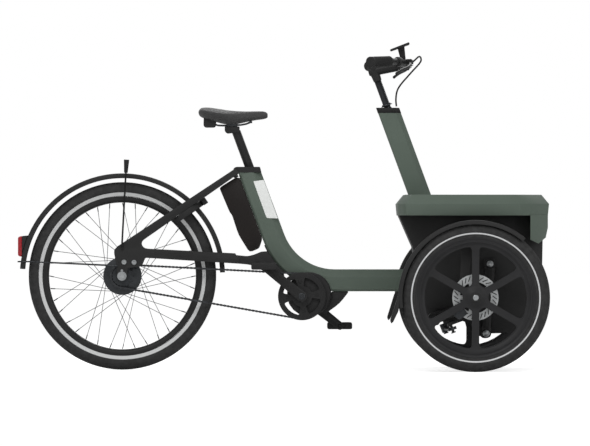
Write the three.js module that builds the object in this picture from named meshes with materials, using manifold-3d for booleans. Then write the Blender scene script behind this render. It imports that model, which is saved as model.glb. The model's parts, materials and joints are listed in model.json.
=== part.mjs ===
// Front-loading cargo tricycle: one 26-inch rear wheel, two steered 20-inch front wheels on leading arms,
// a box-section frame with a mid motor, and an open cargo tub between the front wheels.
// Millimetres. X runs forward from the rear axle, Y to the rider's left, Z up from the ground.
import * as THREE from "three";
import { mergeVertices } from "three/addons/utils/BufferGeometryUtils.js";
import Module from "manifold-3d";

const wasm = await Module();
wasm.setup();

const DEGREE = Math.PI / 180;
const FULL_TURN = 2 * Math.PI;

// Shared clearances and wall sizes
const seatGap = 0.4; // between two pieces that touch
const runningGap = 1.5; // between two pieces that move past each other
const overrun = 12; // how far a cutter runs past what it cuts
const weld = 0.001; // vertices closer than this are one

// Rear wheel, 50-559
const rearRadius = 329;
const rearTyreWidth = 50;
const rearTyreHeight = 49; // from bead to tread
const rearRimDepth = 22;
const rearRimWidth = 30;
const spokeCount = 36;
const spokeDiameter = 2.4;
const spokeFlangeRadius = 58;
const spokeFlangeOffset = 33;
const hubCoverRadius = 67;
const hubBarrelRadius = 40;
const rearHubHalf = 58;
const rearAxleRadius = 10;
const rearNutRadius = 14;
const rearNutLength = 9;
const hubFlangeHalf = 5;
const spokeInterlace = 6; // leading spokes leave the flange outboard of the trailing ones

// Front wheels, 54-406
const frontRadius = 257;
const frontTyreWidth = 54;
const frontTyreHeight = 51;
const frontRimHalf = 20;
const frontRimDepth = 16;
const frontWebHalf = 7;
const frontWebCrown = 4; // the inner face of the web stands this much prouder
const frontTrack = 720; // between the middles of the front wheels
const frontHubRadius = 34;
const frontHubHalf = 24;
const hubConeInset = 14;
const windowCount = 6;
const windowHubGap = 8;
const windowRimGap = 24;
const windowCorner = 18;
const spokeArmWidth = 25;
const stubRadius = 10;
const stubNutHeight = 4;
const frontStepWidth = 6;
const discRadius = 80;
const discRingWidth = 20;
const discThickness = 2.5;
const caliperSize = 60;
const caliperOverhang = 10;
const frontBeadRadius = frontRadius - frontTyreHeight;
const frontStepRadius = frontBeadRadius - frontRimDepth;
const windowInner = frontHubRadius + windowHubGap;
const windowOuter = frontStepRadius - windowRimGap;

// Places along the length
const tyreToBracket = 301; // front of the rear tyre to the bottom bracket
const bracketToBend = 115; // bottom bracket to the centre of the frame's bend
const bendToTub = 217; // centre of the bend to the back of the tub
const tubToAxle = 267; // back of the tub to the front axle
const bottomBracketX = rearRadius + tyreToBracket;
const bendX = bottomBracketX + bracketToBend;
const tubRearX = bendX + bendToTub;
const wheelbase = tubRearX + tubToAxle;

// Main frame, one box-section tube bent into a low step-through
const seatLean = 20.4 * DEGREE;
const tubeAxisZ = 313.5;
const bendRadius = 227.5;
const tubeDepth = 77;
const tubeWidth = 72;
const tubeFacetDepth = 26;
const tubeFacetWidth = 18;
const tubeSoftening = 8;
const seatPartLength = 247;
const frameNose = 3; // the tube ends this far behind the front axle
const bendZ = tubeAxisZ + bendRadius;
const frameFrontX = wheelbase - frameNose;
const frameTopZ = tubeAxisZ + tubeDepth / 2;
const frameUnderZ = tubeAxisZ - tubeDepth / 2;

// Steering: column, shaft and kingpins all share one lean
const steerLean = 20.2 * DEGREE;
const axleLead = 34; // front axle ahead of the kingpins
const kingpinInset = 75; // from the middle of the wheel
const steeringSetback = 19.7; // steering axis behind the kingpins, measured square to both
const columnRise = 305; // above the rim of the tub
const columnDepth = 75;
const columnWidth = 62;
const columnFacet = 17;
const columnBore = 17;
const columnGap = 2; // round the column where it passes through the tub
const shaftRadius = 14;
const postRadius = 12.3;
const steeringArm = 80;
const steeringArmSide = 25;
const linkPlane = -86; // tie-rod plane below the wheel axle, along the kingpin
const linkPlate = 10;
const linkTipRadius = 12;
const studRadius = 5;
const studHeadRadius = 8.5;
const studHeadHeight = 4;
const rodRadius = 6;
const rodInnerEyeRadius = 12;
const rodEyeRadius = 15;
const looseGap = 5; // round the outer tie-rod studs
const kingpinX = wheelbase - axleLead;
const frontWheelOffset = frontTrack / 2;
const kingpinHalf = frontWheelOffset - kingpinInset;

// Front suspension
const armReach = 105; // from the arm's pivot forward to the kingpin
const armDrop = 77; // the pivot below the wheel axle
const pivotTubeRadius = 20;
const pivotPinRadius = 12;
const pivotNutRadius = 16;
const pivotNutLength = 9;
const armHubRadius = 24;
const armHubInset = 24;
const armHubStandout = 10;
const armPlateThickness = 18;
const armPlateReach = 200;
const limbHeight = 40;
const limbThickness = 32;
const bossRadius = 19;
const kingpinRadius = 9;
const webGap = 4; // between the arm's boss and the web of the fork
const webThickness = 12;
const webReach = 52;
const forkThickness = 11;
const strutThickness = 4;
const bossTop = -2;
const bossBottom = -62;
const towerSize = 38;
const cheekThickness = 12;
const cheekReach = 210;
const shockInset = 70; // inboard of the kingpin
const shockTopAhead = 54; // of the front axle
const shockFootAhead = 41;
const shockTopRise = 21; // above the frame tube
const shockFootDrop = 126; // below the front axle
const shockEyeRadius = 16;
const shockEyeHalf = 12;
const shockEyeStandout = 9; // from the plates that carry the shocks
const shockCanRadius = 19;
const shockBodyRadius = 16;
const shockRodRadius = 8;
const shockPinRadius = 7;
const shockHeadRadius = 10;
const shockHeadHeight = 8;
const armPivotX = kingpinX - armReach;
const armPivotZ = frontRadius - armDrop;
const shockSide = kingpinHalf - shockInset;
const webInner = bossRadius + webGap;
const webOuter = webInner + webThickness;
const armPlateOuter = shockSide - shockEyeHalf - shockEyeStandout;
const armPlateInner = armPlateOuter - armPlateThickness;
const armHubInner = armPlateInner - armHubInset;
const armHubOuter = armPlateOuter + armHubStandout;
const shockTopX = wheelbase + shockTopAhead;
const shockTopZ = frameTopZ + shockTopRise;
const shockFootX = wheelbase + shockFootAhead;
const shockFootZ = frontRadius - shockFootDrop;

// Mudguards
const guardShell = 3;
const guardShoulder = 5;
const rearGuardGap = 28; // from the tyre
const rearGuardHalf = 32;
const rearGuardSkirt = 17;
const frontGuardGap = 8;
const frontGuardHalf = 31;
const frontGuardSkirt = 15;
const flapLength = 94;
const stayWireRadius = 2.5;
const flagRodRadius = 3.5;
const flagRodLength = 266;
const flagCupLength = 43;
const flagCupWall = 3;
const lampHalf = 25;
const lampHeight = 73;
const lampRise = 67; // bottom of the lens above the axle
const lensStandout = 6;
const lensDepth = 14;
const lampDepth = 32;
const lampSkirt = 40;
const lampRim = 3;
const rearGuardStart = 2 * DEGREE;
const rearGuardEnd = 176 * DEGREE;
const frontGuardStart = 50 * DEGREE;
const frontGuardEnd = 188 * DEGREE;
const rearGuardRadius = rearRadius + rearGuardGap + guardShell;
const frontGuardRadius = frontRadius + frontGuardGap + guardShell;

// Cargo tub, which stands clear of the front mudguards
const tubAboveGuard = 16;
const tubLength = 528;
const tubNoseLength = 60;
const tubShoulderLength = 44;
const tubRearCorner = 27;
const tubHalf = 300;
const tubRearNarrowing = 50;
const tubShoulderNarrowing = 38;
const tubNoseNarrowing = 120;
const tubWaistHeight = 40;
const tubRimHeight = 32;
const tubInset = 26;
const tubDraft = 4;
const tubWall = 5;
const apronLength = 68;
const apronDepth = 99;
const bodySideGap = 11; // between the lower shell and the arms
const bodyWall = 5;
const bodyLength = 406;
const bodyClearance = 133; // above the ground
const bodyRearInset = 6;
const bodyFrontInset = 20;
const tubeGap = 4; // round the frame tube where it enters the lower shell
const wellRearInset = 104;
const wellFrontInset = 50;
const tubFrontX = tubRearX + tubLength;
const tubShoulderX = tubFrontX - tubNoseLength;
const tubSideFrontX = tubShoulderX - tubShoulderLength;
const tubBottomZ = frontRadius + frontGuardRadius + tubAboveGuard;
const tubFacetZ = tubBottomZ + tubWaistHeight;
const tubTopZ = tubFacetZ + tubRimHeight;
const apronRearX = tubFrontX - apronLength;
const apronBottomZ = tubBottomZ - apronDepth;
const floorZ = frameTopZ + towerSize + seatGap; // the floor rests on the beam that carries the shocks
const bodyHalf = armPlateInner - bodySideGap;
const bodyDepth = tubBottomZ - bodyClearance;
const columnTopZ = tubTopZ + columnRise;
const tubRearHalf = tubHalf - tubRearNarrowing;
const tubShoulderHalf = tubHalf - tubShoulderNarrowing;
const tubNoseHalf = tubHalf - tubNoseNarrowing;
const tubRearCornerX = tubRearX + tubRearCorner;

// Drive
const bracketDrop = 55.5; // bottom bracket below the axis of the tube
const chainPlane = -52;
const chainWidth = 8;
const chainDepth = 8;
const sprocketPitchRadius = 40.4;
const chainringPitchRadius = 79;
const guardRadius = 84;
const kidneyInner = 34;
const kidneyOuter = 66;
const chainringThickness = 4;
const motorAhead = 25; // of the bottom bracket
const motorRise = 7;
const motorRadius = 78;
const motorFlange = 8;
const motorCoreRadius = 50;
const motorCoreDrop = 18;
const crankLength = 170;
const crankAngle = 141.5 * DEGREE; // right crank, measured from straight ahead
const crankPlane = 68;
const crankThickness = 13;
const crankBossRadius = 19;
const crankTipRadius = 14;
const spindleRadius = 11;
const pedalLength = 88;
const pedalWidth = 92;
const pedalThickness = 24;
const pedalPinRadius = 6;
const bottomBracketZ = tubeAxisZ - bracketDrop;
const motorX = bottomBracketX + motorAhead;
const motorZ = bottomBracketZ + motorRise;
const motorCoreZ = bottomBracketZ - motorCoreDrop;

// Rear frame
const dropoutPlane = 68; // inner face of the dropouts
const stayFrontPlane = 40;
const stayThickness = 14;
const stayToBracket = 235;
const stayRise = 130; // front end of the chainstays above the bottom bracket
const stayDepth = 36;
const dropoutSize = 106;
const castingLength = 177;
const castingGap = 1.4;
const stayTopRise = 29;
const yokeDepth = 16;
const stayFrontX = bottomBracketX - stayToBracket;
const stayFrontZ = bottomBracketZ + stayRise;

// Battery, saddle and post
const batteryLength = 235;
const batteryHalf = 34;
const seatPostRadius = 15.5;
const seatPostForward = 6;
const postRise = 150;
const postInserted = 200;
const postBoreDepth = 235;
const collarHeight = 18;
const collarBack = 3; // the clamp collar stands this far behind the tube
const saddleLength = 243;
const saddleSetback = 14; // rail clamp behind the top of the post
const clampLength = 52;
const clampHeight = 22;
const clampHalf = 22;
const railRadius = 3.5;
const railLength = 150;
const railHalf = 20;

// Ring lock on the rear tyre
const lockInset = 16.2; // its centre lies this far inside the tread
const lockAngle = 44.33 * DEGREE; // round the rear axle
const lockTilt = 34.8 * DEGREE;
const lockLegEnd = 125 * DEGREE;
const shackleEnd = 115 * DEGREE;
const shackleRadius = 65;
const shackleHalf = 4;
const casingWall = 5;
const tunnelGap = 1;
const keyRadius = 13;
const keyLength = 12;
const keySide = -30;

// Cockpit
const stemRise = 158.4; // top of the stem above the column, along the steering axis
const stemLength = 104;
const stemRadius = 19;
const stemClampRadius = 21;
const stemClampHeight = 58;
const stemGrip = 16; // the shaft's post reaches this far into the stem
const dustCapHeight = 8;
const stemAngle = 10 * DEGREE;
const barHalf = 308;
const barRadius = 11.5;
const barClampRadius = 15.9;
const barClampHalf = 24;
const gripRadius = 17.5;
const gripCap = 4;
const leverRadius = 5.5;
const leverEyeRadius = 8;
const leverEyeHalf = 7;
const leverPinRadius = 3;
const perchRadius = 9;
const perchWidth = 44;
const displayLength = 70;
const displayHalf = 38;
const neckHalf = 9;
const cableRadius = 3;

// Facet counts
const tyreSegments = 36;
const wheelSegments = 30;
const roundSegments = 10;
const smallSegments = 6;
const cornerSegments = 2; // per rounded corner of an outline

// Vector shorthand
function at(x, y, z) {
  return new THREE.Vector3(x, y, z);
}

// A point given square to the leaning steering axes: forward, to the side and up along them.
function leaning(origin, forward, side, up) {
  return at(
    origin.x + forward * Math.cos(steerLean) - up * Math.sin(steerLean),
    origin.y + side,
    origin.z + forward * Math.sin(steerLean) + up * Math.cos(steerLean),
  );
}

// Turns a closed geometry into a solid whose faces point outwards.
function solid(geometry) {
  const bare = geometry.clone();
  for (const attribute of Object.keys(bare.attributes)) {
    if (attribute !== "position") bare.deleteAttribute(attribute);
  }
  const merged = mergeVertices(bare, weld);
  const corners = merged.index.array;
  const places = merged.attributes.position;
  const a = new THREE.Vector3();
  const b = new THREE.Vector3();
  const c = new THREE.Vector3();
  const kept = [];
  let volume = 0;
  for (let i = 0; i < corners.length; i += 3) {
    const [p, q, r] = [corners[i], corners[i + 1], corners[i + 2]];
    if (p === q || q === r || r === p) continue;
    kept.push([p, q, r]);
    a.fromBufferAttribute(places, p);
    b.fromBufferAttribute(places, q);
    c.fromBufferAttribute(places, r);
    volume += a.dot(b.cross(c));
  }
  const triVerts = Uint32Array.from(kept.flatMap(([p, q, r]) => (volume < 0 ? [p, r, q] : [p, q, r])));
  return new wasm.Manifold(new wasm.Mesh({ numProp: 3, vertProperties: places.array, triVerts }));
}

function geometryOf(body) {
  const mesh = body.getMesh();
  const geometry = new THREE.BufferGeometry();
  geometry.setAttribute("position", new THREE.BufferAttribute(mesh.vertProperties, 3));
  geometry.setIndex(new THREE.BufferAttribute(mesh.triVerts, 1));
  return geometry;
}

function joined(...geometries) {
  return geometryOf(geometries.map(solid).reduce((whole, piece) => whole.add(piece)));
}

function cut(geometry, ...cutters) {
  return geometryOf(cutters.map(solid).reduce((whole, piece) => whole.subtract(piece), solid(geometry)));
}

function mirrored(geometry) {
  return geometry.clone().scale(1, -1, 1);
}

// An outline whose corners may be rounded: each corner is [across, up, rounding].
function outline(corners) {
  const shape = new THREE.Shape();
  corners.forEach(([x, y, rounding = 0], i) => {
    const corner = new THREE.Vector2(x, y);
    const before = new THREE.Vector2(...corners.at(i - 1).slice(0, 2));
    const after = new THREE.Vector2(...corners[(i + 1) % corners.length].slice(0, 2));
    const enter = corner.clone().lerp(before, Math.min(rounding / corner.distanceTo(before), 1 / 2));
    const leave = corner.clone().lerp(after, Math.min(rounding / corner.distanceTo(after), 1 / 2));
    if (i === 0) shape.moveTo(enter.x, enter.y);
    else shape.lineTo(enter.x, enter.y);
    if (rounding) shape.quadraticCurveTo(x, y, leave.x, leave.y);
  });
  return shape;
}

// Corners set out in shares of a size from a point: each is [forward, up, rounding].
function setOut(shares, x, z, size, height = size) {
  return shares.map(([forward, up, rounding = 0]) => [x + forward * size, z + up * height, rounding * size]);
}

// Points along an arc from one angle to another, both ends included.
function arc(x, y, radius, fromAngle, toAngle, steps) {
  const points = [];
  for (let i = 0; i <= steps; i += 1) {
    const angle = fromAngle + ((toAngle - fromAngle) * i) / steps;
    points.push(new THREE.Vector2(x + radius * Math.cos(angle), y + radius * Math.sin(angle)));
  }
  return points;
}

function circle(x, y, radius, sides = roundSegments) {
  return new THREE.Shape(arc(x, y, radius, 0, FULL_TURN, sides).slice(0, -1));
}

// An upright outline (X across, Z up) carried across from one Y to another.
function crosswise(shape, fromY, toY, curveSegments = cornerSegments) {
  const geometry = new THREE.ExtrudeGeometry(shape, { depth: toY - fromY, bevelEnabled: false, curveSegments });
  return geometry.rotateX(Math.PI / 2).translate(0, toY, 0);
}

// A plan outline (X across, Y up the page) raised from one Z to another.
function raised(shape, fromZ, toZ, curveSegments = cornerSegments) {
  const geometry = new THREE.ExtrudeGeometry(shape, { depth: toZ - fromZ, bevelEnabled: false, curveSegments });
  return geometry.translate(0, 0, fromZ);
}

// A plan outline in the leaning frame of the steering axes, set on a point of one of them.
function leaned(shape, origin, fromUp, toUp) {
  return raised(shape, fromUp, toUp).rotateY(-steerLean).translate(origin.x, origin.y, origin.z);
}

// A profile of [radius, y] turned about the Y axis, with a flat facet facing down.
function turned(profile, segments) {
  const points = profile.map(([radius, y]) => new THREE.Vector2(radius, y));
  if (profile[0][0] > 0) points.push(points[0].clone());
  return new THREE.LatheGeometry(points, segments, Math.PI / segments, FULL_TURN);
}

// The corner radius of a faceted bore whose flats clear a round pin by the gap.
function boreFor(radius, sides = roundSegments, gap = seatGap) {
  return (radius + gap) / Math.cos(Math.PI / sides);
}

// A straight round bar between two points, or a cone when the two radii differ.
function bar(from, to, radius, sides = smallSegments, endRadius = radius) {
  const along = to.clone().sub(from);
  const geometry = new THREE.CylinderGeometry(endRadius, radius, along.length(), sides);
  const turn = new THREE.Quaternion().setFromUnitVectors(at(0, 1, 0), along.clone().normalize());
  const middle = from.clone().add(to).multiplyScalar(1 / 2);
  return geometry.applyQuaternion(turn).translate(middle.x, middle.y, middle.z);
}

function crossBar(x, z, fromY, toY, radius, sides = smallSegments) {
  return bar(at(x, fromY, z), at(x, toY, z), radius, sides);
}

// A round tube through points.
function hose(points, radius, sides, steps) {
  const section = new THREE.Shape();
  section.absarc(0, 0, radius, 0, FULL_TURN, false);
  return new THREE.ExtrudeGeometry(section, {
    curveSegments: sides / 2,
    steps,
    bevelEnabled: false,
    extrudePath: new THREE.CatmullRomCurve3(points),
  });
}

// A closed body through rings of points, each ring with as many points as the last.
function loft(rings) {
  const size = rings[0].length;
  const triangles = [];
  rings.slice(1).forEach((ring, k) => {
    ring.forEach((point, i) => {
      const next = (i + 1) % size;
      const [a, b, c, d] = [rings[k][i], rings[k][next], ring[next], point];
      triangles.push(a, b, c, a, c, d);
    });
  });
  triangles.push(...capOf(rings[0], -1), ...capOf(rings.at(-1), 1));
  return new THREE.BufferGeometry().setFromPoints(triangles);
}

// The flat face that closes a ring, wound along the ring (1) or against it (-1).
function capOf(ring, direction) {
  const normal = new THREE.Vector3();
  ring.forEach((point, i) => normal.add(point.clone().cross(ring[(i + 1) % ring.length])));
  normal.normalize();
  const across = ring[1].clone().sub(ring[0]).projectOnPlane(normal).normalize();
  const up = normal.clone().cross(across);
  const flat = ring.map((point) => new THREE.Vector2(point.dot(across), point.dot(up)));
  const faces = THREE.ShapeUtils.triangulateShape(flat, []);
  return faces.flatMap(([a, b, c]) => {
    const area = flat[b].clone().sub(flat[a]).cross(flat[c].clone().sub(flat[a]));
    const order = area * direction > 0 ? [a, b, c] : [a, c, b];
    return order.map((i) => ring[i]);
  });
}

// A closed profile of [radius, y] swept about an axle through an arc, measured from straight ahead.
function swept(profile, centreX, centreZ, fromAngle, toAngle, steps) {
  const rings = [];
  for (let i = 0; i <= steps; i += 1) {
    const angle = fromAngle + ((toAngle - fromAngle) * i) / steps;
    rings.push(
      profile.map(([radius, y]) => {
        return at(centreX + radius * Math.cos(angle), y, centreZ + radius * Math.sin(angle));
      }),
    );
  }
  return loft(rings);
}

// Materials, as seen in daylight
function finish(colour, roughness, metalness) {
  return new THREE.MeshStandardMaterial({ color: colour, roughness, metalness });
}
const greenPaint = finish("#55605a", 0.5, 0.1);
const blackPaint = finish("#303030", 0.6, 0.1);
const blackPlastic = finish("#2b2b2b", 0.7, 0);
const darkShell = finish("#2d2d2d", 0.6, 0);
const rubber = finish("#333333", 0.9, 0);
const wheelPaint = finish("#3c3c3c", 0.55, 0.2);
const steel = finish("#b9bcbd", 0.35, 0.9);
const darkSteel = finish("#3a3a3a", 0.45, 0.8);
const batteryCase = finish("#282423", 0.5, 0);
const redLens = finish("#a3161b", 0.2, 0);
const saddleCover = finish("#3d3d3d", 0.75, 0);

const tricycle = new THREE.Group();

function place(name, geometry, material) {
  const mesh = new THREE.Mesh(geometryOf(solid(geometry)), material);
  mesh.name = name;
  tricycle.add(mesh);
}

// The right-hand piece is the mirror image of the left-hand one.
function placePair(name, leftGeometry, material) {
  place(name + "_left", leftGeometry, material);
  place(name + "_right", mirrored(leftGeometry), material);
}

// Rear wheel

function tyre(radius, height, width, beadWidth) {
  const half = width / 2;
  const tread = radius / Math.cos(Math.PI / tyreSegments);
  const belly = radius - half;
  const shoulder = half * Math.SQRT1_2;
  return turned(
    [
      [radius - height, -beadWidth / 2],
      [belly, -half],
      [belly + shoulder, -shoulder],
      [tread, -half / 4],
      [tread, half / 4],
      [belly + shoulder, shoulder],
      [belly, half],
      [radius - height, beadWidth / 2],
    ],
    tyreSegments,
  );
}

function rearWheel() {
  const rimHalf = rearRimWidth / 2;
  const beadRadius = rearRadius - rearTyreHeight;
  const rimInner = beadRadius - rearRimDepth;
  const wellRadius = rimInner + rearRimDepth / 3;
  const rim = turned(
    [
      [rimInner, -rimHalf / 3],
      [wellRadius, -rimHalf],
      [beadRadius - seatGap, -rimHalf],
      [beadRadius - seatGap, rimHalf],
      [wellRadius, rimHalf],
      [rimInner, rimHalf / 3],
    ],
    tyreSegments,
  );
  const boreRadius = boreFor(rearAxleRadius);
  const collarRadius = rearAxleRadius * 2;
  const shell = turned(
    [
      [boreRadius, -rearHubHalf],
      [collarRadius, -rearHubHalf],
      [collarRadius, -spokeFlangeOffset - 2 * hubFlangeHalf],
      [hubCoverRadius, -spokeFlangeOffset - hubFlangeHalf],
      [hubCoverRadius, -spokeFlangeOffset + hubFlangeHalf],
      [hubBarrelRadius, -spokeFlangeOffset + 2 * hubFlangeHalf],
      [hubBarrelRadius, spokeFlangeOffset - 2 * hubFlangeHalf],
      [hubCoverRadius, spokeFlangeOffset - hubFlangeHalf],
      [hubCoverRadius, spokeFlangeOffset + hubFlangeHalf],
      [collarRadius, rearHubHalf],
      [boreRadius, rearHubHalf],
    ],
    roundSegments,
  );
  const spokes = [];
  const spokeSides = 4;
  const crossing = 3 * (FULL_TURN / (spokeCount / 2)); // laced three-cross
  for (let i = 0; i < spokeCount; i += 1) {
    const side = i % 2 ? 1 : -1;
    const swing = Math.floor(i / 2) % 2 ? 1 : -1;
    const outer = (i * FULL_TURN) / spokeCount;
    const inner = outer + swing * crossing;
    const rimSeat = rimInner * Math.cos(Math.PI / tyreSegments) - seatGap - spokeDiameter / 4;
    const flangeY = side * (spokeFlangeOffset + (swing * spokeInterlace) / 2);
    const rimY = side * (rimHalf / 5 + (swing * spokeInterlace) / 4);
    spokes.push(
      bar(
        at(spokeFlangeRadius * Math.cos(inner), flangeY, spokeFlangeRadius * Math.sin(inner)),
        at(rimSeat * Math.cos(outer), rimY, rimSeat * Math.sin(outer)),
        spokeDiameter / 2,
        spokeSides,
      ),
    );
  }
  place(
    "rear_tyre",
    tyre(rearRadius, rearTyreHeight, rearTyreWidth, rearRimWidth).translate(0, 0, rearRadius),
    rubber,
  );
  place("rear_rim", rim.translate(0, 0, rearRadius), blackPaint);
  place("rear_hub", joined(shell, ...spokes).translate(0, 0, rearRadius), darkSteel);

  const nutInner = dropoutPlane + stayThickness;
  const nutOuter = nutInner + rearNutLength;
  const axleEnd = nutOuter + rearAxleRadius / 2;
  place(
    "rear_axle",
    joined(
      crossBar(0, rearRadius, -axleEnd, axleEnd, rearAxleRadius - seatGap / 2, roundSegments),
      crossBar(0, rearRadius, nutInner + seatGap, nutOuter, rearNutRadius),
      crossBar(0, rearRadius, -nutOuter, -nutInner - seatGap, rearNutRadius),
    ),
    steel,
  );
}

// Drive

function toothedDisc(pitchRadius, teeth, toothShare) {
  const shape = new THREE.Shape();
  const tip = pitchRadius - chainDepth / 2 - seatGap;
  const root = tip - (toothShare * FULL_TURN * pitchRadius) / teeth;
  for (let i = 0; i < 2 * teeth; i += 1) {
    const radius = i % 2 ? root : tip;
    const angle = (i * FULL_TURN) / (2 * teeth);
    const point = [radius * Math.cos(angle), radius * Math.sin(angle)];
    if (i === 0) shape.moveTo(...point);
    else shape.lineTo(...point);
  }
  shape.closePath();
  return shape;
}

// A kidney-shaped window between two radii.
function kidney(innerRadius, outerRadius, middleAngle, spread, steps = 3) {
  const from = middleAngle - spread / 2;
  const to = middleAngle + spread / 2;
  const outerEdge = arc(0, 0, outerRadius, from, to, steps);
  const innerEdge = arc(0, 0, innerRadius, to, from, steps);
  return new THREE.Shape([...outerEdge, ...innerEdge]);
}

// The outline of a belt round both chain wheels, offset from their pitch circles.
function chainLoop(offset) {
  const rear = new THREE.Vector2(0, rearRadius);
  const front = new THREE.Vector2(bottomBracketX, bottomBracketZ);
  const line = front.clone().sub(rear);
  const heading = Math.atan2(line.y, line.x);
  const contact = Math.acos((sprocketPitchRadius - chainringPitchRadius) / line.length());
  const upper = heading + contact;
  const lower = heading - contact;
  const steps = 16;
  return new THREE.Shape([
    ...arc(rear.x, rear.y, sprocketPitchRadius + offset, upper, lower + FULL_TURN, steps),
    ...arc(front.x, front.y, chainringPitchRadius + offset, lower, upper, steps),
  ]);
}

function chainDrive() {
  const sprocketTeeth = 20;
  const chainringTeeth = 39;
  const toothShare = 0.25;
  const sprocket = toothedDisc(sprocketPitchRadius, sprocketTeeth, toothShare);
  sprocket.holes.push(circle(0, 0, boreFor(rearAxleRadius * 2)));
  const halfRing = chainringThickness / 2;
  const sprocketPlate = crosswise(sprocket, chainPlane - halfRing, chainPlane + halfRing);
  place("rear_sprocket", sprocketPlate.translate(0, 0, rearRadius), steel);

  const chain = chainLoop(chainDepth / 2);
  chain.holes.push(chainLoop(-chainDepth / 2));
  place("chain", crosswise(chain, chainPlane - chainWidth / 2, chainPlane + chainWidth / 2), darkSteel);

  // Chainring with its round guard plate outboard of the chain, pierced by four kidney windows
  const windowSpread = 60 * DEGREE;
  const kidneyCount = 4;
  const plateSegments = 36;
  const guardInner = chainPlane - chainWidth / 2 - seatGap;
  const guardOuter = guardInner - chainringThickness;
  const ring = toothedDisc(chainringPitchRadius, chainringTeeth, toothShare);
  ring.holes.push(circle(0, 0, kidneyOuter, plateSegments / 2));
  const plate = circle(0, 0, guardRadius, plateSegments);
  plate.holes.push(circle(0, 0, boreFor(spindleRadius)));
  for (let i = 0; i < kidneyCount; i += 1) {
    const middle = crankAngle + (i * FULL_TURN) / kidneyCount;
    plate.holes.push(kidney(kidneyInner, kidneyOuter, middle, windowSpread));
  }
  place(
    "chainring",
    joined(
      crosswise(ring, guardInner, chainPlane + chainringThickness / 2),
      crosswise(plate, guardOuter, guardInner + seatGap),
    ).translate(bottomBracketX, 0, bottomBracketZ),
    blackPaint,
  );
}

// A crank arm that points straight ahead from the bottom bracket, with a hole for the pedal.
function crankArm() {
  const arm = outline([
    [-crankBossRadius, -crankBossRadius, crankBossRadius],
    [crankLength + crankTipRadius, -crankTipRadius, crankTipRadius],
    [crankLength + crankTipRadius, crankTipRadius, crankTipRadius],
    [-crankBossRadius, crankBossRadius, crankBossRadius],
  ]);
  arm.holes.push(circle(crankLength, 0, boreFor(pedalPinRadius)));
  return arm;
}

function cranks() {
  const crankOuter = crankPlane + crankThickness;
  const rightArm = crankArm();
  rightArm.holes.push(circle(0, 0, boreFor(spindleRadius)));
  const rightCrank = crosswise(rightArm, -crankOuter, -crankPlane)
    .rotateY(-crankAngle)
    .translate(bottomBracketX, 0, bottomBracketZ);
  place("crank_right", rightCrank, blackPaint);
  const leftArm = crosswise(crankArm(), crankPlane, crankOuter)
    .rotateY(Math.PI - crankAngle)
    .translate(bottomBracketX, 0, bottomBracketZ);
  const spindle = crossBar(
    bottomBracketX,
    bottomBracketZ,
    -crankOuter,
    crankPlane + crankThickness / 2,
    spindleRadius,
    roundSegments,
  );
  place("crank_left", joined(leftArm, spindle), blackPaint);

  // Pedals: a platform with two slots, on a pin through the end of the crank
  const inner = crankOuter + runningGap;
  const halfLength = pedalLength / 2;
  const halfThick = pedalThickness / 2;
  const corner = halfThick / 2;
  const body = outline([
    [-halfLength, -halfThick, corner],
    [halfLength, -halfThick, corner],
    [halfLength, halfThick, corner],
    [-halfLength, halfThick, corner],
  ]);
  const slots = [-1, 1].map((end) =>
    new THREE.BoxGeometry(halfLength / 3, pedalWidth * (2 / 3), pedalThickness + overrun).translate(
      (end * halfLength) / 2,
      inner + pedalWidth / 2,
      0,
    ),
  );
  const pin = crossBar(0, 0, crankPlane + seatGap, inner + pedalWidth / 2, pedalPinRadius);
  const pedal = joined(cut(crosswise(body, inner, inner + pedalWidth), ...slots), pin);
  const tip = at(Math.cos(crankAngle), 0, Math.sin(crankAngle)).multiplyScalar(crankLength);
  const rightPedal = mirrored(pedal).translate(bottomBracketX + tip.x, 0, bottomBracketZ + tip.z);
  const leftPedal = pedal.translate(bottomBracketX - tip.x, 0, bottomBracketZ - tip.z);
  place("pedal_right", rightPedal, blackPlastic);
  place("pedal_left", leftPedal, blackPlastic);
}

// Motor: a core in a notch under the tube, with a wide flange on each side of it and a bracket ahead of it
function motor() {
  const flangeInner = tubeWidth / 2 + runningGap;
  const flangeOuter = flangeInner + motorFlange;
  const core = crossBar(motorX, motorCoreZ, -flangeInner - seatGap, flangeInner + seatGap, motorCoreRadius, 24);
  const flanges = [-1, 1].map((side) =>
    turned(
      [
        [0, side * flangeInner],
        [motorRadius, side * flangeInner],
        [motorRadius, side * (flangeOuter - motorFlange / 2)],
        [motorRadius - motorFlange / 2, side * flangeOuter],
        [0, side * flangeOuter],
      ],
      2 * roundSegments,
    ).translate(motorX, 0, motorZ),
  );
  const spindleBore = crossBar(
    bottomBracketX,
    bottomBracketZ,
    -crankPlane,
    crankPlane,
    boreFor(spindleRadius),
    roundSegments,
  );
  const bracketShares = [
    [1.026, 0, 0.051],
    [1.795, 0, 0.077],
    [1.372, -0.546, 0.256],
    [0.654, -1.059, 0.179],
    [0.449, -0.764, 0.077],
  ];
  const bracketHalf = flangeInner - overrun;
  const bracket = outline(setOut(bracketShares, motorX, frameUnderZ - seatGap, motorRadius));
  place(
    "motor",
    cut(joined(core, ...flanges, crosswise(bracket, -bracketHalf, bracketHalf)), spindleBore),
    blackPlastic,
  );
}

// Main frame

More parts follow.
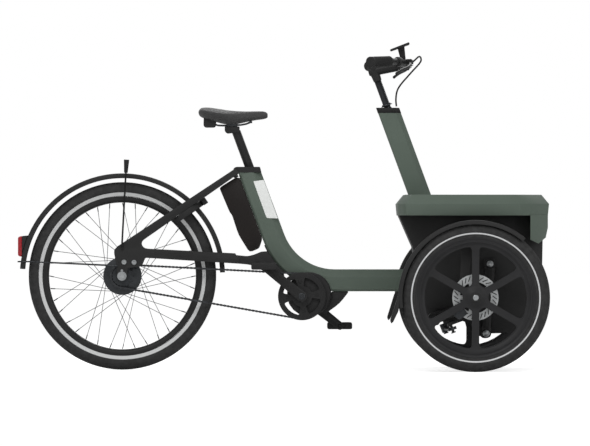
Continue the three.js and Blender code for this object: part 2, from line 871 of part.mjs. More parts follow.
function tubeRing(centreX, centreZ, angle) {
  // The angle is that of the inward normal, which points to the centre of the bend.
  const inward = at(Math.cos(angle), 0, Math.sin(angle));
  const halfDepth = tubeDepth / 2;
  const halfWidth = tubeWidth / 2;
  const section = [
    [-halfDepth, -halfWidth + tubeSoftening],
    [-halfDepth + tubeSoftening, -halfWidth],
    [halfDepth - tubeFacetDepth, -halfWidth],
    [halfDepth, -halfWidth + tubeFacetWidth],
    [halfDepth, halfWidth - tubeFacetWidth],
    [halfDepth - tubeFacetDepth, halfWidth],
    [-halfDepth + tubeSoftening, halfWidth],
    [-halfDepth, halfWidth - tubeSoftening],
  ];
  return section.map(([deep, wide]) => at(centreX + inward.x * deep, wide, centreZ + inward.z * deep));
}

const seatDown = at(Math.sin(seatLean), 0, -Math.cos(seatLean));
const seatInward = at(Math.cos(seatLean), 0, Math.sin(seatLean));
const seatFoot = at(bendX, 0, bendZ).addScaledVector(seatInward, -bendRadius);
const seatTop = seatFoot.clone().addScaledVector(seatDown, -seatPartLength);
const postAxis = seatTop.clone().addScaledVector(seatInward, seatPostForward);
const postTop = postAxis.clone().addScaledVector(seatDown, -postRise);

// A point beside the seat part: how far down it from the top, and how far towards the front.
function besideSeat(down, inward) {
  return seatTop.clone().addScaledVector(seatDown, down).addScaledVector(seatInward, inward);
}

// Corners beside the seat part, in shares of a length: [down, towards the front, rounding].
function setBesideSeat(shares, length) {
  return shares.map(([down, inward, rounding = 0]) => {
    const corner = besideSeat(down * length, inward * length);
    return [corner.x, corner.z, rounding * length];
  });
}

const kingpinFoot = at(kingpinX, 0, frontRadius);
const steeringFoot = leaning(kingpinFoot, -steeringSetback, 0, 0);
const columnLength = (columnTopZ - steeringFoot.z) / Math.cos(steerLean);

function mainFrame() {
  const rings = [tubeRing(seatTop.x, seatTop.z, seatLean)];
  const bendSteps = 12;
  for (let i = 0; i <= bendSteps; i += 1) {
    const angle = seatLean + ((Math.PI / 2 - seatLean) * i) / bendSteps;
    rings.push(tubeRing(bendX - bendRadius * Math.cos(angle), bendZ - bendRadius * Math.sin(angle), angle));
  }
  rings.push(tubeRing(frameFrontX, tubeAxisZ, Math.PI / 2));
  const postBore = bar(
    postAxis.clone().addScaledVector(seatDown, -overrun),
    postAxis.clone().addScaledVector(seatDown, postBoreDepth),
    boreFor(seatPostRadius),
    roundSegments,
  );
  const shaftBore = bar(
    leaning(steeringFoot, 0, 0, linkPlane),
    leaning(steeringFoot, 0, 0, columnLength / 3),
    columnBore,
    roundSegments,
  );
  const motorNotch = crossBar(motorX, motorCoreZ, -tubeWidth, tubeWidth, motorCoreRadius + runningGap, 24);
  place("main_frame", cut(loft(rings), postBore, shaftBore, motorNotch), greenPaint);

  // Clamp collar on top of the seat part
  const collarSection = outline([
    [-tubeDepth / 2 - collarBack, -tubeWidth / 2, tubeSoftening],
    [tubeDepth / 2, -tubeWidth / 2, tubeFacetWidth],
    [tubeDepth / 2, tubeWidth / 2, tubeFacetWidth],
    [-tubeDepth / 2 - collarBack, tubeWidth / 2, tubeSoftening],
  ]);
  collarSection.holes.push(circle(seatPostForward, 0, boreFor(seatPostRadius)));
  const collar = raised(collarSection, seatGap, collarHeight, 4)
    .rotateY(-seatLean)
    .translate(seatTop.x, seatTop.y, seatTop.z);
  place("seat_collar", collar, blackPlastic);
}

// Steering column: a box section with its front corners taken off, level at its foot on the tube and at its top
function columnSection(gap) {
  const halfDepth = columnDepth / 2 + gap;
  const halfWidth = columnWidth / 2 + gap;
  return outline([
    [-halfDepth, -halfWidth, tubeSoftening],
    [halfDepth - columnFacet, -halfWidth],
    [halfDepth, -halfWidth + columnFacet],
    [halfDepth, halfWidth - columnFacet],
    [halfDepth - columnFacet, halfWidth],
    [-halfDepth, halfWidth, tubeSoftening],
  ]);
}

function steeringColumn() {
  const section = columnSection(0);
  section.holes.push(circle(0, 0, columnBore));
  const column = leaned(section, steeringFoot, 0, columnLength + columnDepth / 2);
  const half = columnLength / 2;
  const below = new THREE.BoxGeometry(columnLength, columnLength, columnLength);
  const above = below.clone();
  below.translate(steeringFoot.x, 0, frameTopZ + seatGap - half);
  above.translate(steeringFoot.x - half, 0, columnTopZ + half);
  place("steering_column", cut(column, below, above), greenPaint);
}

// Rear frame: two cast sides that splay towards the dropouts, joined behind the seat and round the motor
function rearFrame() {
  const seatBack = -tubeDepth / 2 - collarBack;
  const stayTop = besideSeat(-stayTopRise, seatBack);
  const stayTopFront = besideSeat(-stayTopRise / 3, seatBack + stayThickness / 2);
  const tailShares = [
    [-0.189, 0.406, 0.057],
    [-0.255, 0.745, 0.047],
    [-0.255, 0.868, 0.047],
    [-0.132, 0.991],
  ];
  const crotchShares = [
    [0.585, 1.123, 0.151],
    [0.679, 0.906, 0.151],
  ];
  const chainstayShares = [
    [0, 0.556],
    [0.389, 0],
    [0.389, -0.444],
  ];
  const dropoutShares = [
    [0.745, 0.604, 0.057],
    [0.623, 0.311, 0.057],
    [0.189, 0.264, 0.075],
    [0.132, -0.132, 0.113],
    [-0.132, -0.132, 0.113],
  ];
  const side = outline([
    ...setOut(tailShares, 0, rearRadius, dropoutSize),
    [stayTop.x, stayTop.z],
    [stayTopFront.x, stayTopFront.z],
    ...setOut(crotchShares, 0, rearRadius, dropoutSize),
    ...setOut(chainstayShares, stayFrontX, stayFrontZ, stayDepth),
    ...setOut(dropoutShares, 0, rearRadius, dropoutSize),
  ]);
  side.holes.push(circle(0, rearRadius, boreFor(rearAxleRadius)));
  const plate = crosswise(side, 0, stayThickness, 3);
  const places = plate.attributes.position;
  const splayStart = dropoutSize / 2;
  const splay = (dropoutPlane - stayFrontPlane) / (stayFrontX - splayStart);
  for (let i = 0; i < places.count; i += 1) {
    const inwards = Math.max(places.getX(i) - splayStart, 0) * splay;
    places.setY(i, places.getY(i) + dropoutPlane - inwards);
  }
  const yokeShares = [
    [-0.875, 1],
    [-1.125, 0],
    [0.125, 0],
    [0, 1],
  ];
  const yoke = outline(
    yokeShares.map(([down, behind]) => {
      const corner = besideSeat(down * yokeDepth, seatBack - seatGap - behind * yokeDepth);
      return [corner.x, corner.z];
    }),
  );
  const yokeHalf = stayFrontPlane + stayThickness / 7;

  // The casting from the chainstays to the motor lies under the battery and behind the tube.
  const castingTopShares = [
    [-0.045, 0.085],
    [0.254, 0.056, 0.045],
    [0.379, 0.09],
    [0.518, 0.147],
  ];
  const castingLowShares = [
    [0.621, -0.266, 0.113],
    [0.333, -0.113, 0.09],
    [-0.045, -0.079],
  ];
  const underBend = [28, 38, 48].map((degrees) => {
    const radius = bendRadius + tubeDepth / 2 + castingGap;
    return [bendX - radius * Math.cos(degrees * DEGREE), bendZ - radius * Math.sin(degrees * DEGREE)];
  });
  const beforeMotor = [163, 159].map((degrees, i) => {
    const radius = motorRadius + overrun * (2 / 3 + 2 * i);
    const angle = degrees * DEGREE;
    return [motorX + radius * Math.cos(angle), motorZ + radius * Math.sin(angle), stayThickness / 3];
  });
  const casting = outline([
    ...setOut(castingTopShares, stayFrontX, stayFrontZ, castingLength),
    ...underBend,
    ...beforeMotor,
    ...setOut(castingLowShares, stayFrontX, stayFrontZ, castingLength),
  ]);
  const castingHalf = stayFrontPlane + stayThickness / 2;
  place(
    "rear_frame",
    joined(
      plate,
      mirrored(plate),
      crosswise(yoke, -yokeHalf, yokeHalf),
      crosswise(casting, -castingHalf, castingHalf),
    ),
    blackPaint,
  );
}

// Battery: a slab behind the seat part
function battery() {
  const front = -tubeDepth / 2 - seatGap;
  const topFront = besideSeat(batteryLength / 30, front);
  const lowFront = besideSeat(batteryLength, front);
  const batteryShares = [
    [1.117, -0.26, 0.026],
    [1.126, -0.417, 0.051],
    [0.817, -0.479, 0.06],
    [0.504, -0.467, 0.034],
    [0.465, -0.485, 0.034],
    [0.073, -0.502, 0.017],
    [0.055, -0.464, 0.017],
    [0.003, -0.213, 0.013],
  ];
  const casing = outline([
    [topFront.x, topFront.z, seatGap],
    [lowFront.x, lowFront.z, railRadius * 2],
    ...setBesideSeat(batteryShares, batteryLength),
  ]);
  place("battery", crosswise(casing, -batteryHalf, batteryHalf), batteryCase);
}

// Saddle, rails and post
function saddle() {
  const clampX = postTop.x - saddleSetback;
  const railZ = postTop.z + clampHeight;
  const postLow = postAxis.clone().addScaledVector(seatDown, postInserted);
  const clampShares = [
    [-0.5, -0.423, 0.077],
    [-0.327, -0.577, 0.077],
    [0.5, -0.462, 0.115],
    [0.5, -0.085, 0.058],
    [-0.5, -0.085, 0.058],
  ];
  place(
    "seat_post",
    joined(
      bar(postLow, postTop, seatPostRadius, roundSegments),
      crosswise(outline(setOut(clampShares, clampX, railZ, clampLength)), -clampHalf, clampHalf),
    ),
    blackPaint,
  );

  const railShares = [
    [-0.567, 0.133, 0.087],
    [-0.367, 0.133, 0],
    [0, 0.133, 0],
    [0.267, 0.133, 0.013],
    [0.433, 0.067, 0.07],
  ];
  const rail = (side) =>
    hose(
      railShares.map(([forward, out, up]) =>
        at(clampX + forward * railLength, side * out * railLength, railZ + up * railLength),
      ),
      railRadius,
      6,
      8,
    );
  const [rearShare, , , , noseShare] = railShares;
  const bridge = (length, width, height, share) =>
    new THREE.BoxGeometry(length, width, height).translate(
      clampX + share[0] * railLength,
      0,
      railZ + share[2] * railLength,
    );
  const railWidth = 2 * (railHalf + 2 * railRadius);
  place(
    "saddle_rails",
    joined(
      rail(-1),
      rail(1),
      bridge(5 * railRadius, railWidth, 2 * railRadius, rearShare).translate(2 * railRadius, 0, 0),
      bridge(3 * railRadius, 2 * railHalf, 2 * railRadius, noseShare),
      new THREE.BoxGeometry(10 * railRadius, railWidth, 2 * railRadius + seatGap).translate(clampX, 0, railZ),
    ),
    darkSteel,
  );

  // Each station, in shares of the length: forward, half width, top, edge and underside
  const saddleShares = [
    [-0.486, 0.198, 0.206, 0.189, 0.156],
    [-0.453, 0.272, 0.255, 0.206, 0.107],
    [-0.35, 0.313, 0.263, 0.189, 0.082],
    [-0.206, 0.305, 0.243, 0.16, 0.058],
    [-0.062, 0.239, 0.218, 0.144, 0.053],
    [0.082, 0.156, 0.206, 0.136, 0.053],
    [0.226, 0.107, 0.202, 0.128, 0.062],
    [0.37, 0.086, 0.206, 0.128, 0.074],
    [0.473, 0.07, 0.206, 0.132, 0.086],
    [0.514, 0.033, 0.169, 0.132, 0.107],
  ];
  const flankShares = [1, 0.82, 0.45, 0, -0.45, -0.82, -1];
  const underShares = [-0.7, 0, 0.7];
  const rings = saddleShares.map((station) => {
    const [x, half, top, edge, under] = station.map((share) => share * saddleLength);
    const over = flankShares.map((share) =>
      at(clampX + x, -half * share, railZ + edge + (top - edge) * (1 - share * share)),
    );
    return [...over, ...underShares.map((share) => at(clampX + x, -half * share, railZ + under))];
  });
  place("saddle", loft(rings), saddleCover);
}

// Mudguards: a crowned channel swept round the wheel

function guardProfile(radius, half, skirt) {
  const inner = radius - guardShell;
  const wallInner = half - guardShell;
  return [
    [radius - skirt, -half],
    [radius - guardShoulder, -half],
    [radius, -half / 2],
    [radius, half / 2],
    [radius - guardShoulder, half],
    [radius - skirt, half],
    [radius - skirt, wallInner],
    [inner - guardShoulder, wallInner],
    [inner - guardShoulder, -wallInner],
    [radius - skirt, -wallInner],
  ];
}

function rearGuard() {
  const profile = guardProfile(rearGuardRadius, rearGuardHalf, rearGuardSkirt);
  place("rear_mudguard", swept(profile, 0, rearRadius, rearGuardStart, rearGuardEnd, 18), blackPlastic);

  // Wire stay: one bent wire from dropout to dropout, passing behind the mudguard
  const wireAngle = 172 * DEGREE;
  const wireSide = dropoutPlane + stayThickness + stayWireRadius + 2 * seatGap;
  const guardSide = rearGuardHalf + stayWireRadius + seatGap;
  const wireFoot = at(-stayThickness, wireSide, rearRadius + dropoutSize / 3);
  const wireTurn = at(
    (rearGuardRadius - 2 * rearGuardSkirt) * Math.cos(wireAngle),
    guardSide,
    rearRadius + rearGuardRadius * Math.sin(wireAngle),
  );
  const wireBack = at(-rearGuardRadius - 2 * stayWireRadius, guardSide, wireTurn.z);
  const side = joined(bar(wireFoot, wireTurn, stayWireRadius, 8), bar(wireTurn, wireBack, stayWireRadius, 8));
  const across = bar(at(wireBack.x, -guardSide, wireBack.z), wireBack, stayWireRadius, 8);
  place("mudguard_stay", joined(side, mirrored(side), across), darkSteel);
}

// Holder for a flag: a rod that stands on the right dropout, with a flared cup
function flagHolder() {
  const lean = 3.1 * DEGREE;
  const rodY = -(dropoutPlane + stayThickness + 6 * seatGap + flagRodRadius);
  const footZ = rearRadius + dropoutSize * 0.93;
  const onRod = (length) => at(length * Math.sin(lean), rodY, footZ + length * Math.cos(lean));
  const bracket = crossBar(0, footZ, rodY, -dropoutPlane - stayThickness - seatGap, flagRodRadius * Math.SQRT2);
  place(
    "flag_holder",
    joined(
      bar(onRod(0), onRod(flagRodLength), flagRodRadius),
      bracket,
      cut(
        bar(
          onRod(flagRodLength - flagCupWall),
          onRod(flagRodLength + flagCupLength),
          2 * flagRodRadius,
          smallSegments,
          3 * flagRodRadius,
        ),
        bar(
          onRod(flagRodLength + 2 * flagCupWall),
          onRod(flagRodLength + flagCupLength + flagCupWall),
          2 * flagRodRadius - flagCupWall,
          smallSegments,
          3 * flagRodRadius - flagCupWall / 2,
        ),
      ),
    ),
    blackPaint,
  );
}

// Tail lamp on the back of the mudguard
function tailLamp() {
  const lensBack = -rearGuardRadius - lensStandout;
  const lensFront = lensBack + lensDepth;
  const lensLow = rearRadius + lampRise;
  const lensHigh = lensLow + lampHeight;
  const guardCutter = crossBar(0, rearRadius, -tubeWidth, tubeWidth, rearGuardRadius + seatGap, 90);
  const lens = outline([
    [lensBack, lensLow + lampRim, lensStandout],
    [lensFront, lensLow],
    [lensFront, lensHigh],
    [lensBack, lensHigh - lampRim, lensStandout],
  ]);
  const shellBack = lensFront + seatGap;
  const shellFront = lensFront + lampDepth;
  const shellShape = outline([
    [shellBack, lensLow - lampSkirt, lampRim],
    [shellFront, lensLow - lampSkirt],
    [shellFront, lensHigh + lampRim, lensStandout],
    [shellBack, lensHigh, lampRim],
  ]);
  place("tail_lens", cut(crosswise(lens, -lampHalf, lampHalf), guardCutter), redLens);
  const shellHalf = lampHalf + lampRim;
  place("tail_lamp", cut(crosswise(shellShape, -shellHalf, shellHalf), guardCutter), blackPlastic);
}

// Ring lock under the seatstays: a horseshoe casing round the tyre, with a round shackle that runs inside it
function ringLock() {
  const arcSteps = 16;
  const centreRadius = rearRadius - lockInset;
  const centre = at(centreRadius * Math.cos(lockAngle), 0, rearRadius + centreRadius * Math.sin(lockAngle));
  const arcPlate = (half, end, thickness) =>
    raised(kidney(shackleRadius - half, shackleRadius + half, 0, 2 * end, arcSteps), -thickness, thickness);
  const lay = (geometry) => geometry.rotateY(-lockTilt).translate(centre.x, centre.y, centre.z);
  const tunnelHalf = shackleHalf + tunnelGap;
  const casingHalf = tunnelHalf + casingWall;
  const tunnel = arcPlate(tunnelHalf, lockLegEnd + DEGREE, tunnelHalf);
  const casing = cut(arcPlate(casingHalf - 2 * tunnelGap, lockLegEnd, casingHalf), tunnel);
  const keyX = shackleRadius + casingWall - tunnelGap;
  const keyLobe = bar(at(keyX, keySide, 0), at(keyX + keyLength + casingWall, keySide, 0), keyRadius);
  place("ring_lock", lay(joined(casing, keyLobe)), blackPlastic);
  place("lock_shackle", lay(arcPlate(shackleHalf, shackleEnd, shackleHalf)), steel);
}

// Handlebar group: places are set out from the middle of the bar, in shares of half its width
const stemTop = columnLength + stemRise;
const stemHead = leaning(steeringFoot, 0, 0, stemTop - stemRadius);
const barCentre = at(
  stemHead.x + stemLength * Math.cos(stemAngle),
  0,
  stemHead.z + stemLength * Math.sin(stemAngle),
);

function byBar([forward, out, up], side = 1) {
  return at(barCentre.x + forward * barHalf, side * out * barHalf, barCentre.z + up * barHalf);
}

// Brake lever, from its pivot to its tip
const leverShares = [
  [0.081, 0.487, 0.019],
  [0.075, 0.481, 0.019],
  [0.062, 0.666, -0.026],
  [-0.042, 0.851, -0.071],
  [-0.088, 0.916, -0.11],
];

// The left clamp of a brake lever on the bar, with the fork that holds its pin
function leverPerch() {
  const perchShares = [
    [-0.062, 0.429, 0.032],
    [0.101, 0.377, 0.032],
  ];
  const perchRingShares = [
    [-0.052, 0.403, 0.031],
    [-0.075, 0.461, 0.034],
  ];
  const pivot = byBar(leverShares[0]);
  const cylinder = bar(byBar(perchShares[0]), byBar(perchShares[1]), perchRadius);
  const clampRing = bar(byBar(perchRingShares[0]), byBar(perchRingShares[1]), barRadius * 1.5, roundSegments);
  const pinHalf = leverEyeRadius * 1.5;
  const bridge = new THREE.BoxGeometry(2 * perchRadius, perchWidth, 2 * pinHalf).translate(
    pivot.x - leverEyeRadius,
    pivot.y - 2 * leverEyeRadius,
    pivot.z,
  );
  const slotHeight = 2 * (leverEyeHalf + seatGap);
  const slot = new THREE.BoxGeometry(6 * leverEyeRadius, 3 * leverEyeRadius, slotHeight).translate(
    pivot.x + perchRadius,
    pivot.y,
    pivot.z,
  );
  const pinFoot = at(pivot.x, pivot.y, pivot.z - pinHalf);
  const pinTop = at(pivot.x, pivot.y, pivot.z + pinHalf);
  const pin = bar(pinFoot, pinTop, leverPinRadius);
  return joined(cut(joined(cylinder, clampRing, bridge), slot), pin);
}

function cockpit() {
  const postTopUp = stemTop - stemClampHeight + stemGrip;
  const shaft = bar(
    leaning(steeringFoot, 0, 0, linkPlane + linkPlate),
    leaning(steeringFoot, 0, 0, columnLength),
    shaftRadius,
    roundSegments,
  );
  const post = bar(
    leaning(steeringFoot, 0, 0, columnLength - seatGap),
    leaning(steeringFoot, 0, 0, postTopUp),
    postRadius,
    roundSegments,
  );
  const capRadius = columnBore + dustCapHeight / 2;
  const capFoot = columnLength + capRadius * Math.tan(steerLean) + seatGap;
  const dustCap = bar(
    leaning(steeringFoot, 0, 0, capFoot),
    leaning(steeringFoot, 0, 0, capFoot + dustCapHeight),
    capRadius,
    roundSegments,
    postRadius + dustCapHeight / 4,
  );
  // Forked arm at the foot of the shaft, with one stud for each tie rod
  const armTip = outline([
    [shaftRadius + linkTipRadius / 2, -shaftRadius - linkTipRadius / 3, shaftRadius],
    [shaftRadius + linkTipRadius / 2, shaftRadius + linkTipRadius / 3, shaftRadius],
    [-steeringArm - linkTipRadius, steeringArmSide + linkTipRadius, linkTipRadius],
    [-steeringArm - linkTipRadius, -steeringArmSide - linkTipRadius, linkTipRadius],
  ]);
  const drop = leaned(armTip, steeringFoot, linkPlane + linkPlate, linkPlane + 2 * linkPlate);
  const studs = [-1, 1].flatMap((side) => stud(steeringFoot, -steeringArm, side * steeringArmSide));
  place("steering_shaft", joined(shaft, post, dustCap, drop, ...studs), darkSteel);

  // Stem: a clamp on the post and a beam forward to the bar
  const stemBody = bar(
    leaning(steeringFoot, 0, 0, stemTop - stemClampHeight),
    leaning(steeringFoot, 0, 0, stemTop),
    stemRadius,
    roundSegments,
    stemClampRadius,
  );
  const stemBore = bar(
    leaning(steeringFoot, 0, 0, stemTop - stemClampHeight - overrun),
    leaning(steeringFoot, 0, 0, postTopUp + seatGap),
    boreFor(postRadius),
    roundSegments,
  );
  const beam = bar(stemHead, barCentre, stemRadius * 0.9, 16, stemRadius * 0.8);
  const clamp = crossBar(barCentre.x, barCentre.z, -barClampHalf, barClampHalf, stemClampRadius, roundSegments);
  const clampBore = crossBar(
    barCentre.x,
    barCentre.z,
    -overrun - barClampHalf,
    overrun + barClampHalf,
    barClampRadius + seatGap,
    roundSegments,
  );
  place("stem", cut(joined(stemBody, beam, clamp), clampBore, stemBore), blackPaint);

  // Bar: straight through the clamp, then swept back to the grips
  const sweepShares = [
    [0, 0.162, 0.006],
    [-0.016, 0.292, 0.019],
    [-0.075, 0.455, 0.036],
    [-0.166, 0.617, 0.036],
  ];
  const tipShare = [
    [-0.386, 1, 0.019],
  ];
  const gripInner = byBar(sweepShares.at(-1));
  const gripOuter = byBar(tipShare[0]);
  const leftBar = joined(
    hose(sweepShares.map((share) => byBar(share)), barRadius, 8, 5),
    bar(gripInner, gripOuter, barRadius),
    leverPerch(),
  );
  const middleHalf = sweepShares[0][1] * barHalf + stayThickness / 3;
  const middle = crossBar(barCentre.x, barCentre.z, -middleHalf, middleHalf, barClampRadius, roundSegments);
  place("handlebar", joined(leftBar, mirrored(leftBar), middle), blackPaint);

  const gripPath = gripOuter.clone().sub(gripInner).normalize();
  const gripFrom = gripInner.clone().addScaledVector(gripPath, gripCap);
  const gripTo = gripOuter.clone().addScaledVector(gripPath, gripCap);
  const grip = cut(
    bar(gripFrom, gripTo, gripRadius, 20, gripRadius + seatGap),
    bar(
      gripFrom.clone().addScaledVector(gripPath, -overrun),
      gripOuter.clone().addScaledVector(gripPath, seatGap),
      boreFor(barRadius, smallSegments),
    ),
  );
  placePair("grip", grip, rubber);

  // Brake levers
  for (const side of [-1, 1]) {
    const pivot = byBar(leverShares[0], side);
    const above = (height) => at(pivot.x, pivot.y, pivot.z + height);
    const blade = hose(leverShares.slice(1).map((share) => byBar(share, side)), leverRadius, 6, 7);
    const eye = bar(above(-leverEyeHalf), above(leverEyeHalf), leverEyeRadius);
    const boreRadius = boreFor(leverPinRadius, smallSegments);
    const eyeBore = bar(above(-leverEyeHalf - overrun), above(leverEyeHalf + overrun), boreRadius);
    place(side < 0 ? "brake_lever_right" : "brake_lever_left", cut(joined(blade, eye), eyeBore), blackPaint);
  }

  // Display above the stem, on a short bracket round the bar
  const displayShares = [
    [-0.671, 0.8, 0.043],
    [-0.614, 0.714, 0.043],
    [0.329, 1.057, 0.043],
    [0.286, 1.171, 0.043],
  ];
  const neckShares = [
    [0.057, 1.014],
    [-0.286, 0.886],
  ];
  const neckFoot = barCentre.z + stemClampRadius + seatGap;
  const slab = outline(setOut(displayShares, barCentre.x, barCentre.z, displayLength));
  const neck = outline([
    [barCentre.x - neckHalf, neckFoot],
    [barCentre.x + neckHalf, neckFoot],
    ...setOut(neckShares, barCentre.x, barCentre.z, displayLength),
  ]);
  place(
    "display",
    joined(crosswise(slab, -displayHalf, displayHalf), crosswise(neck, -neckHalf, neckHalf)),
    blackPlastic,
  );

  // Brake and control cable: from the right lever down into the top of the column
  const cableShares = [
    [0.106, -0.37, 0.034],
    [0.179, -0.273, 0.097],
    [0.198, -0.162, 0.045],
    [0.081, -0.123, -0.091],
    [-0.062, -0.104, -0.269],
    [-0.084, -0.097, -0.383],
    [-0.078, -0.091, -0.466],
  ];
  place("control_cable", hose(cableShares.map((share) => byBar(share)), cableRadius, 6, 16), rubber);
}

// A stud that hangs below a link plate, with a head
function stud(origin, forward, side) {
  const headTop = linkPlane - linkPlate - runningGap;
  const at3 = (up) => leaning(origin, forward, side, up);
  return [
    bar(at3(headTop - studHeadHeight / 2), at3(linkPlane + linkPlate + studHeadHeight), studRadius),
    bar(at3(headTop - studHeadHeight), at3(headTop), studHeadRadius),
  ];
}

// Tie rods: the inner eye turns on the shaft's stud, the outer one stands clear round the knuckle's stud
function tieRods() {
  for (const side of [-1, 1]) {
    const inner = leaning(steeringFoot, -steeringArm, side * steeringArmSide, linkPlane);
    const knuckleFoot = at(kingpinX, side * kingpinHalf, frontRadius);
    const outer = leaning(knuckleFoot, -steeringArm, side * steeringArmSide, linkPlane);
    const along = outer.clone().sub(inner).normalize();
    const through = (point, half, radius, sides = smallSegments) =>
      bar(leaning(point, 0, 0, -half), leaning(point, 0, 0, half), radius, sides);
    const rod = bar(
      inner.clone().addScaledVector(along, studRadius + rodRadius / 2),
      outer.clone().addScaledVector(along, rodRadius / 3 - rodEyeRadius),
      rodRadius,
    );
    place(
      side < 0 ? "tie_rod_right" : "tie_rod_left",
      cut(
        joined(
          through(inner, linkPlate - seatGap, rodInnerEyeRadius),
          through(outer, linkPlate / 2, rodEyeRadius, 16),
          rod,
        ),
        through(inner, overrun, boreFor(studRadius, smallSegments)),
        through(outer, overrun, studRadius + looseGap, 16),
      ),
      darkSteel,
    );
  }
}

// The pin that carries a shock eye, outboard of its plate, with a domed head
function shockPin(x, z, side) {
  const eyeOuter = shockSide + shockEyeHalf;
  return [
    crossBar(
      x,
      z,
      side * (armPlateOuter - shockHeadHeight / 2),
      side * (eyeOuter + shockHeadHeight / 2),
      shockPinRadius,
    ),
    crossBar(x, z, side * (eyeOuter + seatGap), side * (eyeOuter + shockHeadHeight), shockHeadRadius),
  ];
}

// Front crossbeam: pivot tube, cheeks on the sides of the frame tube, and the beam that carries the shocks
function crossbeam() {
  const cheekShares = [
    [-0.162, -0.038, 0.048],
    [-0.057, -0.124, 0.057],
    [0.086, -0.086, 0.057],
    [0.162, 0.267, 0.076],
    [0.819, 0.571, 0.095],
    [1, 0.786, 0.029],
    [1, 0.99, 0.019],
    [0.829, 0.99, 0.038],
    [0.648, 0.786, 0.048],
    [-0.162, 0.786, 0.048],
  ];
  const cheekInner = tubeWidth / 2 + seatGap;
  const cheekOuter = cheekInner + cheekThickness;
  const towerHalf = towerSize / 2;
  const towerFoot = frameTopZ + seatGap;
  const towerTop = frameTopZ + towerSize;
  const cheek = outline(setOut(cheekShares, armPivotX, armPivotZ, cheekReach, towerTop - armPivotZ));
  const towerBeam = outline([
    [shockTopX - towerHalf, towerFoot],
    [shockTopX + towerHalf, towerFoot],
    [shockTopX + towerHalf, towerTop],
    [shockTopX - towerHalf, towerTop],
  ]);
  const tubeHalf = armHubInner - seatGap;
  const pins = [-1, 1].flatMap((side) => [
    crossBar(
      armPivotX,
      armPivotZ,
      side * (tubeHalf - pivotPinRadius),
      side * (armHubOuter + pivotNutLength * (2 / 3)),
      pivotPinRadius,
      roundSegments,
    ),
    crossBar(
      armPivotX,
      armPivotZ,
      side * (armHubOuter + seatGap),
      side * (armHubOuter + pivotNutLength),
      pivotNutRadius,
    ),
    ...shockPin(shockTopX, shockTopZ, side),
  ]);
  place(
    "front_crossbeam",
    joined(
      crossBar(armPivotX, armPivotZ, -tubeHalf, tubeHalf, pivotTubeRadius, roundSegments),
      crosswise(cheek, cheekInner, cheekOuter),
      crosswise(cheek, -cheekOuter, -cheekInner),
      crosswise(towerBeam, -armPlateOuter, armPlateOuter),
      ...pins,
    ),
    blackPaint,
  );
}

// Left leading arm: hub on the crossbeam, boss for the kingpin, and a curved plate down to the shock
function suspensionArm() {
  const foot = at(kingpinX, kingpinHalf, frontRadius);
  const hub = crossBar(armPivotX, armPivotZ, armHubInner, armHubOuter, armHubRadius, roundSegments);
  const hubBore = crossBar(
    armPivotX,
    armPivotZ,
    armHubInner - overrun,
    armHubOuter + overrun,
    boreFor(pivotPinRadius),
    roundSegments,
  );
  const boss = bar(leaning(foot, 0, 0, bossBottom), leaning(foot, 0, 0, bossTop), bossRadius, roundSegments);
  const bossBore = bar(
    leaning(foot, 0, 0, bossBottom - overrun),
    leaning(foot, 0, 0, bossTop + overrun),
    boreFor(kingpinRadius),
    roundSegments,
  );

  // Each section of the limb: how far along, out and up from hub to boss, then half height and half thickness
  const limbShares = [
    [0.017, -0.3, 0.064, 0.5, 0.5],
    [0.57, 0.123, 0.532, 0.5, 0.47],
    [0.94, 0.877, 1, 0.55, 0.375],
  ];
  const bossMiddle = leaning(foot, 0, 0, (bossBottom + bossTop) / 2);
  const span = bossMiddle.clone().sub(at(armPivotX, armHubOuter, armPivotZ));
  const limb = loft(
    limbShares.map(([along, out, up, height, thickness]) => {
      const x = armPivotX + along * span.x;
      const y = armHubOuter + out * span.y;
      const z = armPivotZ + up * span.z;
      const half = height * limbHeight;
      const thick = thickness * limbThickness;
      const softened = half - limbHeight * 0.15;
      return [
        at(x, y - thick, z - half),
        at(x, y + thick, z - softened),
        at(x, y + thick, z + softened),
        at(x, y - thick, z + half),
      ];
    }),
  );
  const armPlateShares = [
    [0.3, 0.21, 0.1],
    [0.625, 0.18, 0.12],
    [0.89, -0.075, 0.1],
    [1, -0.21, 0.06],
    [0.98, -0.32, 0.05],
    [0.84, -0.34, 0.05],
    [0.77, -0.26, 0.08],
    [0.61, -0.07, 0.15],
    [0.43, -0.015, 0.05],
    [0.17, -0.025, 0.05],
  ];
  const plate = outline([
    [armPivotX, armPivotZ + armHubRadius],
    ...setOut(armPlateShares, armPivotX, armPivotZ, armPlateReach),
    [armPivotX, armPivotZ - armHubRadius * 0.9],
  ]);
  const arm = joined(
    hub,
    boss,
    limb,
    crosswise(plate, armPlateInner, armPlateOuter),
    ...shockPin(shockFootX, shockFootZ, 1),
  );
  placePair("suspension_arm", cut(arm, hubBore, bossBore), blackPaint);
}

